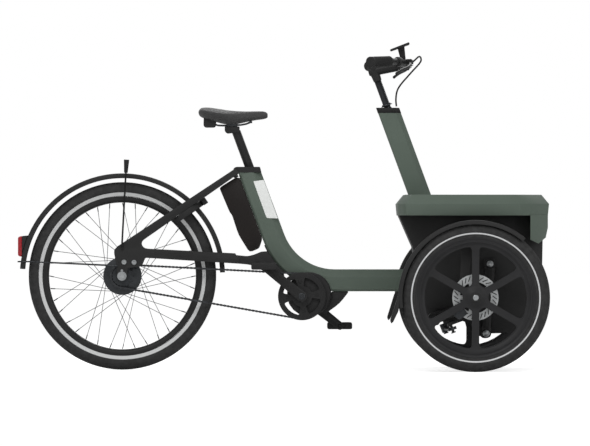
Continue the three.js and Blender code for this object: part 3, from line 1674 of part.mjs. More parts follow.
// Left shock: an upper can and a lower body whose rod runs inside it
function shocks() {
  const top = at(shockTopX, shockSide, shockTopZ);
  const foot = at(shockFootX, shockSide, shockFootZ);
  const reach = (share) => foot.clone().lerp(top, share);
  const canFootShare = 0.5;
  const bodyTopShare = 0.36;
  const rodTopShare = 0.72;
  const boreTopShare = 0.82;
  const across = (point, from, to, radius, sides) =>
    crossBar(point.x, point.z, shockSide + from, shockSide + to, radius, sides);
  const eyeAt = (point) => across(point, -shockEyeHalf, shockEyeHalf, shockEyeRadius, 16);
  const boreAt = (point) =>
    across(point, -shockEyeHalf - overrun, shockEyeHalf + overrun, boreFor(shockPinRadius, smallSegments));
  // Nothing of the can or the body stands out beside its own eye.
  const besideEye = (point) => [
    across(point, shockEyeHalf, shockEyeHalf + 2 * overrun, shockEyeRadius + overrun, 20),
    across(point, -shockEyeHalf - 2 * overrun, -shockEyeHalf, shockEyeRadius + overrun, 20),
  ];
  const can = bar(reach(canFootShare), reach(0.96), shockCanRadius, roundSegments);
  const canBore = bar(
    reach(canFootShare - 0.1),
    reach(boreTopShare),
    boreFor(shockRodRadius, smallSegments, runningGap),
  );
  placePair("shock_upper", cut(joined(eyeAt(top), can), canBore, boreAt(top), ...besideEye(top)), blackPaint);
  const body = bar(reach(0.04), reach(bodyTopShare), shockBodyRadius, roundSegments);
  const rod = bar(reach(bodyTopShare - 0.02), reach(rodTopShare), shockRodRadius);
  placePair("shock_lower", cut(joined(eyeAt(foot), body, rod), boreAt(foot), ...besideEye(foot)), blackPaint);
}

// Left knuckle: a fork over the arm's boss, with the stub axle, the steering arm and the caliper mount
function knuckle() {
  const foot = at(kingpinX, kingpinHalf, frontRadius);
  const topUp = bossTop + seatGap;
  const lowUp = bossBottom - seatGap;
  const round = 2 * kingpinRadius;
  const cheekFront = round + webThickness * (2 / 3);
  const forkPlate = outline([
    [-round, -round, round],
    [round, -round, round],
    [cheekFront, webInner],
    [cheekFront, webOuter],
    [-round, webOuter],
  ]);
  const webShares = [
    [1, -0.385, 0.31],
    [0.77, 0.27, 0.23],
  ];
  const web = outline([
    [-0.85 * webReach, lowUp - forkThickness * (2 / 3), webThickness],
    [0.58 * webReach, lowUp - forkThickness],
    ...setOut(webShares, 0, 0, webReach),
    [-0.3 * webReach, topUp + forkThickness],
    [-0.58 * webReach, -0.58 * webReach, webThickness],
  ]);
  const webPlate = crosswise(web, webInner, webOuter)
    .rotateY(-steerLean)
    .translate(foot.x, foot.y, foot.z);
  const armPlate = outline([
    [linkPlate / 2, -linkPlate],
    [linkPlate / 2, linkTipRadius],
    [-steeringArm - linkTipRadius, steeringArmSide + linkTipRadius, linkTipRadius],
    [-steeringArm - linkTipRadius, steeringArmSide - linkTipRadius, linkTipRadius],
  ]);
  const hubFace = frontWheelOffset - frontHubHalf; // inner end of the wheel's hub
  const stubEnd = frontWheelOffset + frontHubHalf + stubNutHeight;
  const alongAxle = (from, to, radius) => crossBar(wheelbase, frontRadius, from, to, radius, roundSegments);
  const pieces = [
    leaned(forkPlate, foot, topUp, topUp + forkThickness),
    leaned(forkPlate, foot, lowUp - forkThickness, lowUp),
    webPlate,
    bar(
      leaning(foot, 0, 0, lowUp - forkThickness / 2),
      leaning(foot, 0, 0, topUp + forkThickness / 2),
      kingpinRadius,
      roundSegments,
    ),
    leaned(armPlate, foot, lowUp - forkThickness, lowUp - forkThickness / 9),
    ...stud(foot, -steeringArm, steeringArmSide),
    alongAxle(kingpinHalf + webInner + webThickness / 6, stubEnd, stubRadius),
    alongAxle(
      kingpinHalf + webOuter - webThickness / 6,
      hubFace - 2 * discThickness - seatGap,
      stubRadius * 1.6,
    ),
    alongAxle(frontWheelOffset + frontHubHalf + seatGap * 1.5, stubEnd, stubRadius * 1.5),
  ];
  placePair("knuckle", joined(...pieces), blackPaint);

  // Caliper behind and below the axle, straddling the disc
  const caliperShares = [
    [-0.5, -0.1, 0.13],
    [-0.1, -0.5, 0.13],
    [0.4, -0.07, 0.13],
    [-0.03, 0.4, 0.13],
  ];
  const caliperDrop = discRadius * 0.625;
  const slotHalf = discThickness * 1.4;
  const discMiddle = hubFace - seatGap - discThickness / 2;
  const body = outline(setOut(caliperShares, wheelbase - caliperDrop, frontRadius - caliperDrop, caliperSize));
  const slotRadius = discRadius + caliperOverhang / 2;
  const slot = crossBar(wheelbase, frontRadius, discMiddle - slotHalf, discMiddle + slotHalf, slotRadius, 32);
  const block = crosswise(body, kingpinHalf + webOuter + seatGap, hubFace + caliperOverhang);
  placePair("brake_caliper", cut(block, slot), darkSteel);
}

// Left front wheel: cast disc with six rounded windows

function wheelWindow(middleAngle) {
  // Corners of a rounded wedge between two arms
  const halfStep = Math.PI / windowCount;
  const halfArm = spokeArmWidth / 2;
  const corner = (radius, side) => {
    const swing = halfStep - Math.asin(halfArm / radius);
    return [radius * Math.cos(middleAngle + side * swing), radius * Math.sin(middleAngle + side * swing)];
  };
  const crownRadius = windowOuter * 1.02;
  return outline([
    [...corner(windowInner, -1), windowCorner / 3],
    [...corner(windowOuter, -1), windowCorner],
    [crownRadius * Math.cos(middleAngle), crownRadius * Math.sin(middleAngle), 2 * windowCorner],
    [...corner(windowOuter, 1), windowCorner],
    [...corner(windowInner, 1), windowCorner / 3],
  ]);
}

function frontWheels() {
  const bore = boreFor(stubRadius, wheelSegments);
  const beadSeat = frontBeadRadius * Math.cos(Math.PI / tyreSegments) - seatGap;
  const profile = [
    [bore, -frontHubHalf],
    [frontHubRadius, -frontHubHalf],
    [frontHubRadius, -frontWebHalf],
    [frontStepRadius - frontStepWidth, -frontWebHalf],
    [frontStepRadius, -frontRimHalf],
    [beadSeat, -frontRimHalf],
    [beadSeat, frontRimHalf],
    [frontStepRadius, frontRimHalf],
    [frontStepRadius - frontStepWidth, frontWebHalf + frontWebCrown],
    [frontHubRadius, frontWebHalf + frontWebCrown],
    [frontHubRadius - hubConeInset, frontHubHalf],
    [bore, frontHubHalf],
  ];
  const windows = [];
  for (let i = 0; i < windowCount; i += 1) {
    const middle = ((i + 1 / 2) * FULL_TURN) / windowCount + Math.PI / 2;
    windows.push(crosswise(wheelWindow(middle), -2 * frontRimHalf, 2 * frontRimHalf));
  }
  const onAxle = (geometry) => geometry.translate(wheelbase, frontWheelOffset, frontRadius);
  placePair("front_wheel", onAxle(cut(turned(profile, wheelSegments), ...windows)), wheelPaint);
  const frontTyre = tyre(frontRadius, frontTyreHeight, frontTyreWidth, 2 * frontRimHalf);
  placePair("front_tyre", onAxle(frontTyre), rubber);

  // Brake disc on the inner face of the hub
  const discInner = discRadius - discRingWidth;
  const disc = circle(0, 0, discRadius, 2 * roundSegments);
  disc.holes.push(circle(0, 0, stubRadius * 1.7));
  const discSpokes = 6;
  for (let i = 0; i < discSpokes; i += 1) {
    disc.holes.push(kidney(frontHubRadius, discInner, (i * FULL_TURN) / discSpokes, 42 * DEGREE));
  }
  const discY = -frontHubHalf - seatGap;
  placePair("brake_disc", onAxle(crosswise(disc, discY - discThickness, discY)), steel);

  // Mudguard with its strut and flap, carried by the knuckle
  const guard = swept(
    guardProfile(frontGuardRadius, frontGuardHalf, frontGuardSkirt),
    wheelbase,
    frontRadius,
    frontGuardStart,
    frontGuardEnd,
    12,
  ).translate(0, frontWheelOffset, 0);
  const flapShares = [
    [-0.011, 0.053],
    [0.053, 0.053],
    [0.021, -0.479, 0.085],
    [-0.181, -0.894, 0.043],
    [-0.245, -0.947, 0.021],
    [-0.287, -0.84, 0.043],
  ];
  const flap = outline(setOut(flapShares, wheelbase - frontGuardRadius, frontRadius, flapLength));
  const strutShares = [
    [-0.22, -0.093, 0.022],
    [-0.108, -0.108, 0.022],
    [-0.026, 0.907],
    [-0.026, 0.989],
    [-0.146, 0.981],
    [-0.183, 0.534, 0.075],
  ];
  const strut = outline(setOut(strutShares, wheelbase, frontRadius, frontGuardRadius));
  const strutInner = kingpinHalf + webOuter + seatGap;
  const footWidth = frontWheelOffset - strutInner;
  const guardFoot = new THREE.BoxGeometry(frontGuardHalf, footWidth, strutThickness).translate(
    wheelbase - frontGuardRadius * 0.086,
    (frontWheelOffset + strutInner) / 2,
    frontRadius + frontGuardRadius * 0.978,
  );
  const strutPlate = crosswise(strut, strutInner, strutInner + strutThickness);
  const flapPlate = crosswise(flap, frontWheelOffset - frontGuardHalf, frontWheelOffset + frontGuardHalf);
  placePair("front_mudguard", joined(guard, flapPlate, strutPlate, guardFoot), blackPlastic);
}

// Cargo tub: upper shell with bevelled rim, open at the top, with a deeper nose

function tubPlan(z, inset) {
  return [
    [tubRearX, tubRearHalf],
    [tubRearCornerX, tubHalf],
    [tubSideFrontX, tubHalf],
    [tubShoulderX, tubShoulderHalf],
    [tubFrontX, tubNoseHalf],
  ].reduceRight((ring, [x, y]) => {
    const centreX = (tubRearX + tubFrontX) / 2;
    const insetX = x - (inset * (x - centreX)) / ((tubFrontX - tubRearX) / 2);
    const insetY = y - (inset * y) / tubHalf;
    return [at(insetX, insetY, z), ...ring, at(insetX, -insetY, z)];
  }, []);
}

// The plan of the nose apron below the rim, drawn in from the tub's own plan.
function apronPlan(rearX, inset) {
  const half = [
    [rearX, tubShoulderHalf - inset + tubDraft],
    [tubShoulderX - inset / 2, tubShoulderHalf - inset - tubDraft / 2],
    [tubFrontX - tubDraft - inset * 1.25, tubNoseHalf - inset / 2],
  ];
  return outline([...half.map(([x, y]) => [x, -y]), ...half.toReversed()]);
}

function cargoTub() {
  const outer = loft([tubPlan(tubBottomZ, tubDraft), tubPlan(tubFacetZ, 0), tubPlan(tubTopZ, tubInset)]);
  const inner = loft([
    tubPlan(tubBottomZ + tubWall, tubDraft + tubWall),
    tubPlan(tubFacetZ, tubWall),
    tubPlan(tubTopZ + seatGap, tubInset + tubWall),
  ]);
  const wellRearX = tubRearX + wellRearInset;
  const wellFrontX = tubFrontX - wellFrontInset;
  const well = new THREE.BoxGeometry(wellFrontX - wellRearX, 2 * (bodyHalf - bodyWall), 3 * overrun).translate(
    (wellFrontX + wellRearX) / 2,
    0,
    tubBottomZ,
  );
  const columnHole = leaned(columnSection(columnGap), steeringFoot, 0, columnLength * 0.61);
  const apronOuter = raised(apronPlan(apronRearX, 0), apronBottomZ, tubBottomZ + tubDraft / 2);
  const apronHollow = apronPlan(apronRearX - overrun, tubDraft);
  const apronInner = raised(apronHollow, apronBottomZ - overrun, tubBottomZ + tubDraft / 4);
  const chinShares = [
    [-0.04, 0.576],
    [-0.121, 0.222],
    [-0.384, 0.01],
    [-0.848, 0.222],
  ];
  const chin = crosswise(
    outline([
      [apronRearX - overrun, apronBottomZ - overrun],
      [tubFrontX + overrun, apronBottomZ - overrun],
      [tubFrontX + overrun, tubBottomZ - apronDepth / 3],
      ...setOut(chinShares, tubFrontX, apronBottomZ, apronDepth),
    ]),
    -tubHalf,
    tubHalf,
  );
  place(
    "cargo_tub",
    cut(joined(cut(outer, inner), cut(apronOuter, apronInner)), well, columnHole, chin),
    greenPaint,
  );

  lowerShell(columnHole);
}

// Lower shell: the dark lower half of the tub, open below, with the tub's floor panel part way down
function lowerShell(columnHole) {
  const backShares = [
    [-0.525, -0.268],
    [-0.466, -0.589],
  ];
  const archShares = [
    [-1.583, 1.75, 0.333],
    [1.917, 1.417, 0.417],
    [2.083, 0.417, 0.25],
    [4.583, 0.333, 0.417],
  ];
  const bellyShares = [
    [-0.032, -1.012, 0.03],
    [0.401, -1.002, 0.049],
    [0.52, -0.86, 0.074],
    [0.584, -0.515, 0.099],
  ];
  const shell = [
    ...setOut(backShares, wheelbase, tubBottomZ, bodyLength, bodyDepth),
    ...setOut(archShares, armPivotX, armPivotZ, armHubRadius),
    ...setOut(bellyShares, wheelbase, tubBottomZ, bodyLength, bodyDepth),
  ];
  const inwards = ([x, z, rounding = 0], step) => [x + step, z, rounding];
  const [knee, heel, rearFoot] = shell;
  const [keel, chest, front] = shell.slice(-3);
  const rearTop = [tubRearX + bodyRearInset, tubBottomZ - seatGap];
  const frontTop = [tubFrontX - bodyFrontInset, tubBottomZ - seatGap];
  const openZ = keel[1] - 2 * overrun;
  const floorRearX = knee[0] + 2 * bodyWall;
  const floorFrontX = front[0] - bodyWall;
  const hollowTop = outline([
    [rearTop[0] + bodyWall, tubBottomZ + overrun],
    inwards(rearTop, bodyWall),
    inwards(knee, bodyWall),
    [floorRearX, floorZ],
    [floorFrontX, floorZ],
    [frontTop[0] - bodyWall, tubBottomZ + overrun],
  ]);
  const hollowLow = outline([
    [floorRearX, floorZ + bodyWall],
    [floorFrontX, floorZ + bodyWall],
    inwards(front, -2 * bodyWall),
    inwards(chest, -2 * bodyWall),
    [keel[0] - bodyWall, openZ],
    [rearFoot[0] - bodyWall, openZ],
  ]);
  const innerHalf = bodyHalf - bodyWall;
  const beamHoleLength = towerSize + 2 * seatGap;
  const beamHole = new THREE.BoxGeometry(beamHoleLength, 4 * bodyHalf, towerSize + 2 * bodyWall).translate(
    shockTopX,
    0,
    frameTopZ + towerSize / 2 + seatGap - bodyWall,
  );
  const tubeHole = new THREE.BoxGeometry(tubeDepth, tubeWidth + 2 * tubeGap, tubeDepth + 2 * tubeGap).translate(
    heel[0] - 2 * bodyWall,
    0,
    tubeAxisZ,
  );
  place(
    "tub_underbody",
    cut(
      crosswise(outline([rearTop, ...shell, frontTop]), -bodyHalf, bodyHalf),
      crosswise(hollowTop, -innerHalf, innerHalf),
      crosswise(hollowLow, -innerHalf, innerHalf),
      beamHole,
      tubeHole,
      columnHole,
    ),
    darkShell,
  );

  const panel = new THREE.BoxGeometry(
    floorFrontX - floorRearX - 2 * seatGap,
    2 * (innerHalf - seatGap),
    bodyWall,
  ).translate((floorFrontX + floorRearX) / 2, 0, floorZ + bodyWall / 2);
  place("tub_floor", cut(panel, columnHole), darkShell);
}

rearWheel();
chainDrive();
cranks();
motor();
mainFrame();
steeringColumn();
rearFrame();
battery();
saddle();
rearGuard();
flagHolder();
tailLamp();
ringLock();
cockpit();
tieRods();
crossbeam();
suspensionArm();
shocks();
knuckle();
frontWheels();
cargoTub();

// The origin is the middle of the tricycle's length and width, on the ground.
const extent = new THREE.Box3().setFromObject(tricycle);
tricycle.position.set(-(extent.min.x + extent.max.x) / 2, -(extent.min.y + extent.max.y) / 2, -extent.min.z);

const group = new THREE.Group();
group.add(tricycle);

export default group;
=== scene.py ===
# %% [markdown]
# # A front-loading cargo tricycle
#
# The CAD model gives every solid its true size and place. This lesson dresses that model: it stands
# the tricycle in a white studio, gives each finish its real grain, and rebuilds in smooth form the
# pieces that the eye goes to first, such as the tyres, the spokes, the saddle and the bars.
# Everything is in metres: X runs forward, Y to the rider's left and Z up.

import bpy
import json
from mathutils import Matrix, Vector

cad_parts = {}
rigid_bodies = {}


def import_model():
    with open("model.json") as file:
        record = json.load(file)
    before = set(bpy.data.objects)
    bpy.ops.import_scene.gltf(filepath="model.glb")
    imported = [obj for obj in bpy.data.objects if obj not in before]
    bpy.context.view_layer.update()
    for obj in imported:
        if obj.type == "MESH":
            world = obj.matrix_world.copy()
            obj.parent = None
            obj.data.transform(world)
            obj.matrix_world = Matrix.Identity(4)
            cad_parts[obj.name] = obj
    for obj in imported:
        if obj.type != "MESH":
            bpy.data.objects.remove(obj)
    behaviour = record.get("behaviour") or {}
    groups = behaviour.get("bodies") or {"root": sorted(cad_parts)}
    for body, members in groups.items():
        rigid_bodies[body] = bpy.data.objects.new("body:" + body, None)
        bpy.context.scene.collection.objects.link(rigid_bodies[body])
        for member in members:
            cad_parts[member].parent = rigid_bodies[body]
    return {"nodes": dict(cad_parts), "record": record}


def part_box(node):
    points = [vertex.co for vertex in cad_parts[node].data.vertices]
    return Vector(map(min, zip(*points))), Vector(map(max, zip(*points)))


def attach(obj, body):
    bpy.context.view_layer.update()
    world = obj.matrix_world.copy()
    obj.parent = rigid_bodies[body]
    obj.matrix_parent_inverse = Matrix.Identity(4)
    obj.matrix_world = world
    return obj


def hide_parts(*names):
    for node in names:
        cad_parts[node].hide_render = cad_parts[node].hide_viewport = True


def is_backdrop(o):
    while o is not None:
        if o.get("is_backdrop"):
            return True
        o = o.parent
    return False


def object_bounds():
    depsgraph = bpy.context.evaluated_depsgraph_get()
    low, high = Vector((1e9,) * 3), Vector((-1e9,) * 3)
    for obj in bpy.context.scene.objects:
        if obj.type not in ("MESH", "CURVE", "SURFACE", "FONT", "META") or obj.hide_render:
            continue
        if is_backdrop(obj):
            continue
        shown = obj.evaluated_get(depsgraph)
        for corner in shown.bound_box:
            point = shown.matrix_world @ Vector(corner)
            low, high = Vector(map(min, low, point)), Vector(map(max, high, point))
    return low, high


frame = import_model()
cad_box = [list(corner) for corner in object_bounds()]

import json
import math

import bmesh
import bpy
from mathutils import Matrix, Vector

nodes = frame["nodes"]
print("nodes:", len(nodes), "box:", [[round(v, 3) for v in corner] for corner in cad_box])

# %% [markdown]
# The rear axle is the handiest landmark on a cycle, because a drawing of one starts there. The
# helper turns a place in millimetres from that axle, measured from the ground, into the frame of
# the scene. Its X comes from the tyre's own box, so nothing here repeats the CAD's origin.

# %% Places measured from the rear axle
tyre_low, tyre_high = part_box("rear_tyre")
AXLE_X = (tyre_low.x + tyre_high.x) / 2
REAR_RADIUS = (tyre_high.z - tyre_low.z) / 2
MM = 0.001
SIDES = (("left", 1), ("right", -1))


def spot(x, y, z):
    """A point in millimetres: forward of the rear axle, to the left, and up from the ground."""
    return Vector((AXLE_X + x * MM, y * MM, z * MM))


REAR_Z = 329
BRACKET_X, BRACKET_Z = 630, 258
FRONT_X, FRONT_Z = 1229, 257
LEFTWARDS, UPWARDS = Vector((0, 1, 0)), Vector((0, 0, 1))
print("rear axle at x =", round(AXLE_X, 4), "tyre radius", round(REAR_RADIUS, 4))

# %% [markdown]
# A catalogue picture of a cycle is taken from far away with a long lens, so that both sides of the
# wheels line up. A camera 22 m off does the same. It looks along Y at the height of the middle of
# the picture, and its lens makes the picture 2.07 m wide at the tricycle.

# %% Camera
SCENE = bpy.context.scene
camera_data = bpy.data.cameras.new("camera")
camera = bpy.data.objects.new("camera", camera_data)
SCENE.collection.objects.link(camera)
DISTANCE = 22.0
PICTURE_WIDTH = 2.071
camera_data.sensor_width = 36.0
camera_data.lens = camera_data.sensor_width * DISTANCE / PICTURE_WIDTH
camera_data.clip_end = 100.0
camera.location = spot(605.5, 0, 514.6) + Vector((0, -DISTANCE, 0))
camera.rotation_euler = (math.radians(90), 0, 0)
SCENE.camera = camera
SCENE.view_settings.view_transform = "Standard"
print("lens:", round(camera_data.lens, 1), "mm")

# %% [markdown]
# The studio is a pale floor under an even white sky. Rays that come straight from the camera see
# that sky as pure white, while the light it sheds on the tricycle stays softer. The floor adds a
# little white of its own for the same rays, so that it joins the backdrop and still keeps a faint
# shadow under the tyres.

# %% Shader sums as plain Python
class Signal:
    """The output of a shader node. Sums written with it add the nodes that work them out."""

    def __init__(self, tree, socket):
        self.tree = tree
        self.socket = socket

    def node(self, kind, settings=None, inputs=None, output=0):
        """Adds a node of any other kind: its settings first, then the values or links of its sockets."""
        made = self.tree.nodes.new("ShaderNode" + kind)
        for name, value in (settings or {}).items():
            setattr(made, name, value)
        for name, value in (inputs or {}).items():
            if isinstance(value, Signal):
                self.tree.links.new(value.socket, made.inputs[name])
            else:
                made.inputs[name].default_value = value
        return Signal(self.tree, made.outputs[output])

    def maths(self, operation, *values):
        return self.node("Math", {"operation": operation}, dict(enumerate(values)))

    def __add__(self, other):
        return self.maths("ADD", self, other)

    def __mul__(self, other):
        return self.maths("MULTIPLY", self, other)

    def __sub__(self, other):
        return self.maths("SUBTRACT", self, other)

    def __rsub__(self, other):
        return self.maths("SUBTRACT", other, self)

    def __abs__(self):
        return self.maths("ABSOLUTE", self)

    def ramp(self, low, high):
        """0 below low, 1 above high, and a soft step between them."""
        return self.node(
            "MapRange",
            {"interpolation_type": "SMOOTHSTEP"},
            {"Value": self, "From Min": low, "From Max": high},
        )

    def mix(self, first, second):
        """A colour between two, with this signal as the share of the second."""
        settings = {"data_type": "RGBA"}
        return self.node("Mix", settings, {"Factor": self, 6: first, 7: second}, 2)


def colour(code):
    """A linear colour from the way a paint chip is written, such as "545e54"."""
    channels = [int(code[i : i + 2], 16) / 255 for i in (0, 2, 4)]
    return [c / 12.92 if c <= 0.04045 else ((c + 0.055) / 1.055) ** 2.4 for c in channels] + [1.0]


# %% World and floor
world = bpy.data.worlds.new("studio")
SCENE.world = world
world.use_nodes = True
background = world.node_tree.nodes["Background"]
SKY_LIGHT = 0.5
light_path = world.node_tree.nodes.new("ShaderNodeLightPath")
seen = Signal(world.node_tree, light_path.outputs["Is Camera Ray"])
strength = seen * (1 - SKY_LIGHT) + SKY_LIGHT
background.inputs["Color"].default_value = (1, 1, 1, 1)
world.node_tree.links.new(strength.socket, background.inputs["Strength"])

floor_bmesh = bmesh.new()
bmesh.ops.create_grid(floor_bmesh, x_segments=1, y_segments=1, size=40)
floor_mesh = bpy.data.meshes.new("floor")
floor_bmesh.to_mesh(floor_mesh)
floor_bmesh.free()
floor = bpy.data.objects.new("floor", floor_mesh)
SCENE.collection.objects.link(floor)
floor_material = bpy.data.materials.new("pale_floor")
floor_material.use_nodes = True
floor_tree = floor_material.node_tree
floor_surface = floor_tree.nodes["Principled BSDF"]
floor_surface.inputs["Base Color"].default_value = (0.8, 0.8, 0.8, 1)
floor_surface.inputs["Roughness"].default_value = 1.0
floor_surface.inputs["Specular IOR Level"].default_value = 0.0
floor_surface.inputs["Emission Color"].default_value = (1, 1, 1, 1)
floor_path = floor_tree.nodes.new("ShaderNodeLightPath")
floor_seen = Signal(floor_tree, floor_path.outputs["Is Camera Ray"])
floor_glow = floor_seen * 0.62
floor_tree.links.new(floor_glow.socket, floor_surface.inputs["Emission Strength"])
floor_mesh.materials.append(floor_material)
floor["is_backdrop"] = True

# %% [markdown]
# Three large soft lamps model the shapes: a broad one above and in front of the picture side, a
# weaker one from behind that draws a thin bright line along the top edges, and a faint one from ahead.

# %% Lamps
def softbox(name, place, target, size, watts):
    data = bpy.data.lights.new(name, "AREA")
    data.shape = "RECTANGLE"
    data.size, data.size_y = size
    data.energy = watts
    lamp = bpy.data.objects.new(name, data)
    lamp.location = place
    lamp.rotation_euler = (Vector(target) - Vector(place)).to_track_quat("-Z", "Y").to_euler()
    SCENE.collection.objects.link(lamp)


softbox("key_softbox", (-1.2, -3.2, 3.6), (0.1, 0, 0.5), (3.0, 2.0), 80)
softbox("rim_softbox", (0.8, 3.0, 3.2), (0.1, 0, 0.6), (3.0, 1.5), 60)
softbox("fill_softbox", (2.6, -2.6, 1.6), (0.2, 0, 0.5), (2.0, 2.0), 22)
print("sky light", SKY_LIGHT)

# %% [markdown]
# ## Finishes
#
# Every finish reads Object coordinates. All meshes lie in place with their objects at the origin, so
# the grain has its true size everywhere. A finish is a Principled surface with a colour, a
# roughness and a bump, each of which changes a little over the surface as the real one does.

# %% A finish and its grain
def new_finish(name, roughness=0.5, metallic=0.0, **fixed):
    """A material with one Principled surface. Returns the material and its Object coordinates."""
    material = bpy.data.materials.new(name)
    material.use_nodes = True
    tree = material.node_tree
    surface = tree.nodes["Principled BSDF"]
    surface.inputs["Roughness"].default_value = roughness
    surface.inputs["Metallic"].default_value = metallic
    surface.inputs["Specular IOR Level"].default_value = 0.2
    for socket, value in fixed.items():
        surface.inputs[socket.replace("_", " ")].default_value = value
    coordinates = tree.nodes.new("ShaderNodeTexCoord")
    return material, Signal(tree, coordinates.outputs["Object"])


def set_surface(material, **signals):
    """Links signals to the surface: Base_Color, Roughness or Normal."""
    surface = material.node_tree.nodes["Principled BSDF"]
    for socket, signal in signals.items():
        material.node_tree.links.new(signal.socket, surface.inputs[socket.replace("_", " ")])


def noise(place, scale, detail=3.0):
    inputs = {"Vector": place, "Scale": scale, "Detail": detail, "Roughness": 0.55}
    return place.node("TexNoise", {}, inputs)


def cell_borders(place, scale):
    """The distance from the border between two cells of a random pattern."""
    inputs = {"Vector": place, "Scale": scale}
    return place.node("TexVoronoi", {"feature": "DISTANCE_TO_EDGE"}, inputs)


def bump(height, depth, strength=1.0):
    """A bump whose height signal of 1 stands depth metres proud."""
    return height.node("Bump", {}, {"Height": height, "Distance": depth, "Strength": strength})


def grained(name, shade, lighter, roughness, grain, depth, cloud=9.0):
    """A moulded or sprayed finish: a slow change of shade, a fine grain and a matching roughness."""
    material, place = new_finish(name, roughness)
    clouds = noise(place, cloud, 2.0)
    fine = noise(place, grain, 4.0)
    tint = (clouds * 0.7 + fine * 0.3).ramp(0.3, 0.7)
    set_surface(
        material,
        Base_Color=tint.mix(colour(shade), colour(lighter)),
        Roughness=fine * 0.16 + (roughness - 0.08),
        Normal=bump(fine, depth),
    )
    return material


# %% [markdown]
# The frame has a satin grey-green powder coat. Powder melts into a skin with a slight orange peel, a
# few millimetres from crest to crest, which breaks up the highlights. The black frame parts have the
# same coat, and the plastics a finer, duller texture from their mould.

# %% Paints and plastics
green_paint = grained("green_paint", "566158", "5c675e", 0.42, 420, 0.00005, cloud=5)
black_paint = grained("black_paint", "252525", "2b2b2b", 0.42, 480, 0.00005)
black_plastic = grained("black_plastic", "262626", "2c2c2c", 0.55, 1500, 0.00006)
dark_shell = grained("dark_shell", "272727", "2e2e2e", 0.5, 1100, 0.00008)
battery_case = grained("battery_case", "1b1716", "201c1a", 0.45, 1700, 0.00006)
wheel_paint = grained("wheel_paint", "262627", "2c2c2d", 0.5, 700, 0.00005)
cable_sheath = grained("cable_sheath", "1d1d1d", "232323", 0.5, 900, 0.00003)
white_panel = grained("white_panel", "e4e6e4", "eceeec", 0.38, 600, 0.00003)

# %% [markdown]
# Bare steel is brushed: many fine scratches that run one way. Noise stretched with a Mapping node
# gives them. The blackened steel of spokes and chain is the same with a dark oxide colour.

# %% Bare and blackened steel, and the red lens
SCRATCHES = (40, 900, 900)  # to the metre, along each axis


def brushed(name, dark, light, roughness, metallic=1.0):
    material, place = new_finish(name, roughness, metallic)
    lines = noise(place.node("Mapping", {}, {"Vector": place, "Scale": SCRATCHES}), 1.0, 3.0)
    spots = noise(place, 60, 3.0)
    set_surface(
        material,
        Base_Color=(lines * 0.6 + spots * 0.4).ramp(0.3, 0.7).mix(colour(dark), colour(light)),
        Roughness=lines * 0.2 + (roughness - 0.1),
        Normal=bump(lines, 0.00002),
    )
    return material


bare_steel = brushed("bare_steel", "9b9ea0", "c2c5c6", 0.32)
dark_steel = brushed("dark_steel", "37393a", "45474a", 0.38, metallic=0.75)
chain_steel = brushed("chain_steel", "2f2f30", "55575a", 0.36, metallic=0.8)
disc_steel = brushed("disc_steel", "a9acad", "d2d4d4", 0.4, metallic=0.6)
red_lens, lens_place = new_finish("red_lens", 0.12, 0.0, Coat_Weight=0.6, Coat_Roughness=0.05)
prisms = cell_borders(lens_place, 260.0)
# The lens is painted darker along the borders of its prisms, as painted shade in the grooves between them.
set_surface(
    red_lens,
    Base_Color=prisms.ramp(0.0, 0.12).mix(colour("5c0d12"), colour("b0202a")),
    Normal=bump(prisms, 0.0006),
)

# %% [markdown]
# A saddle cover is thin synthetic leather: small rounded cells of different sizes, with fine
# creases between them. A Voronoi pattern, bent by noise so that no row of cells shows, makes them.
# The same pattern paints the creases darker, as painted shade.
# Grip rubber is plain and dull, and its ribs are modelled.

# %% Saddle cover and grip rubber
saddle_cover, cover_place = new_finish("saddle_cover", 0.62, 0.0, Sheen_Weight=0.15, Sheen_Roughness=0.5)
bent = cover_place.node(
    "VectorMath",
    {"operation": "MULTIPLY_ADD"},
    {
        0: cover_place.node("TexNoise", {}, {"Vector": cover_place, "Scale": 240.0}, 1),
        1: (0.004, 0.004, 0.004),
        2: cover_place,
    },
)
cells = cell_borders(bent, 620.0)
wear = noise(cover_place, 26, 3.0)
# The base colour is darker in the creases between the cells, which is painted shade; the wear noise varies
# the tone at random.
set_surface(
    saddle_cover,
    Base_Color=(cells.ramp(0.0, 0.1) * 0.7 + wear * 0.3).mix(colour("2c2c2c"), colour("474747")),
    Roughness=wear * 0.18 + 0.5,
    Normal=bump(cells.ramp(0.0, 0.16), 0.00025, 0.8),
)
grip_rubber = grained("grip_rubber", "242424", "2b2b2b", 0.75, 1300, 0.00008)

# %% [markdown]
# Tyre rubber is black with a dusty grey bloom. Round each sidewall runs a reflective ring. On a
# lathe-turned shape the ring depends only on the distance from the axle, which is the length of the
# Object coordinates less the axle's place, with Y left out. The tread's blocks go round by angle.

# %% Tyre rubber
RIB_PITCH = 0.0016


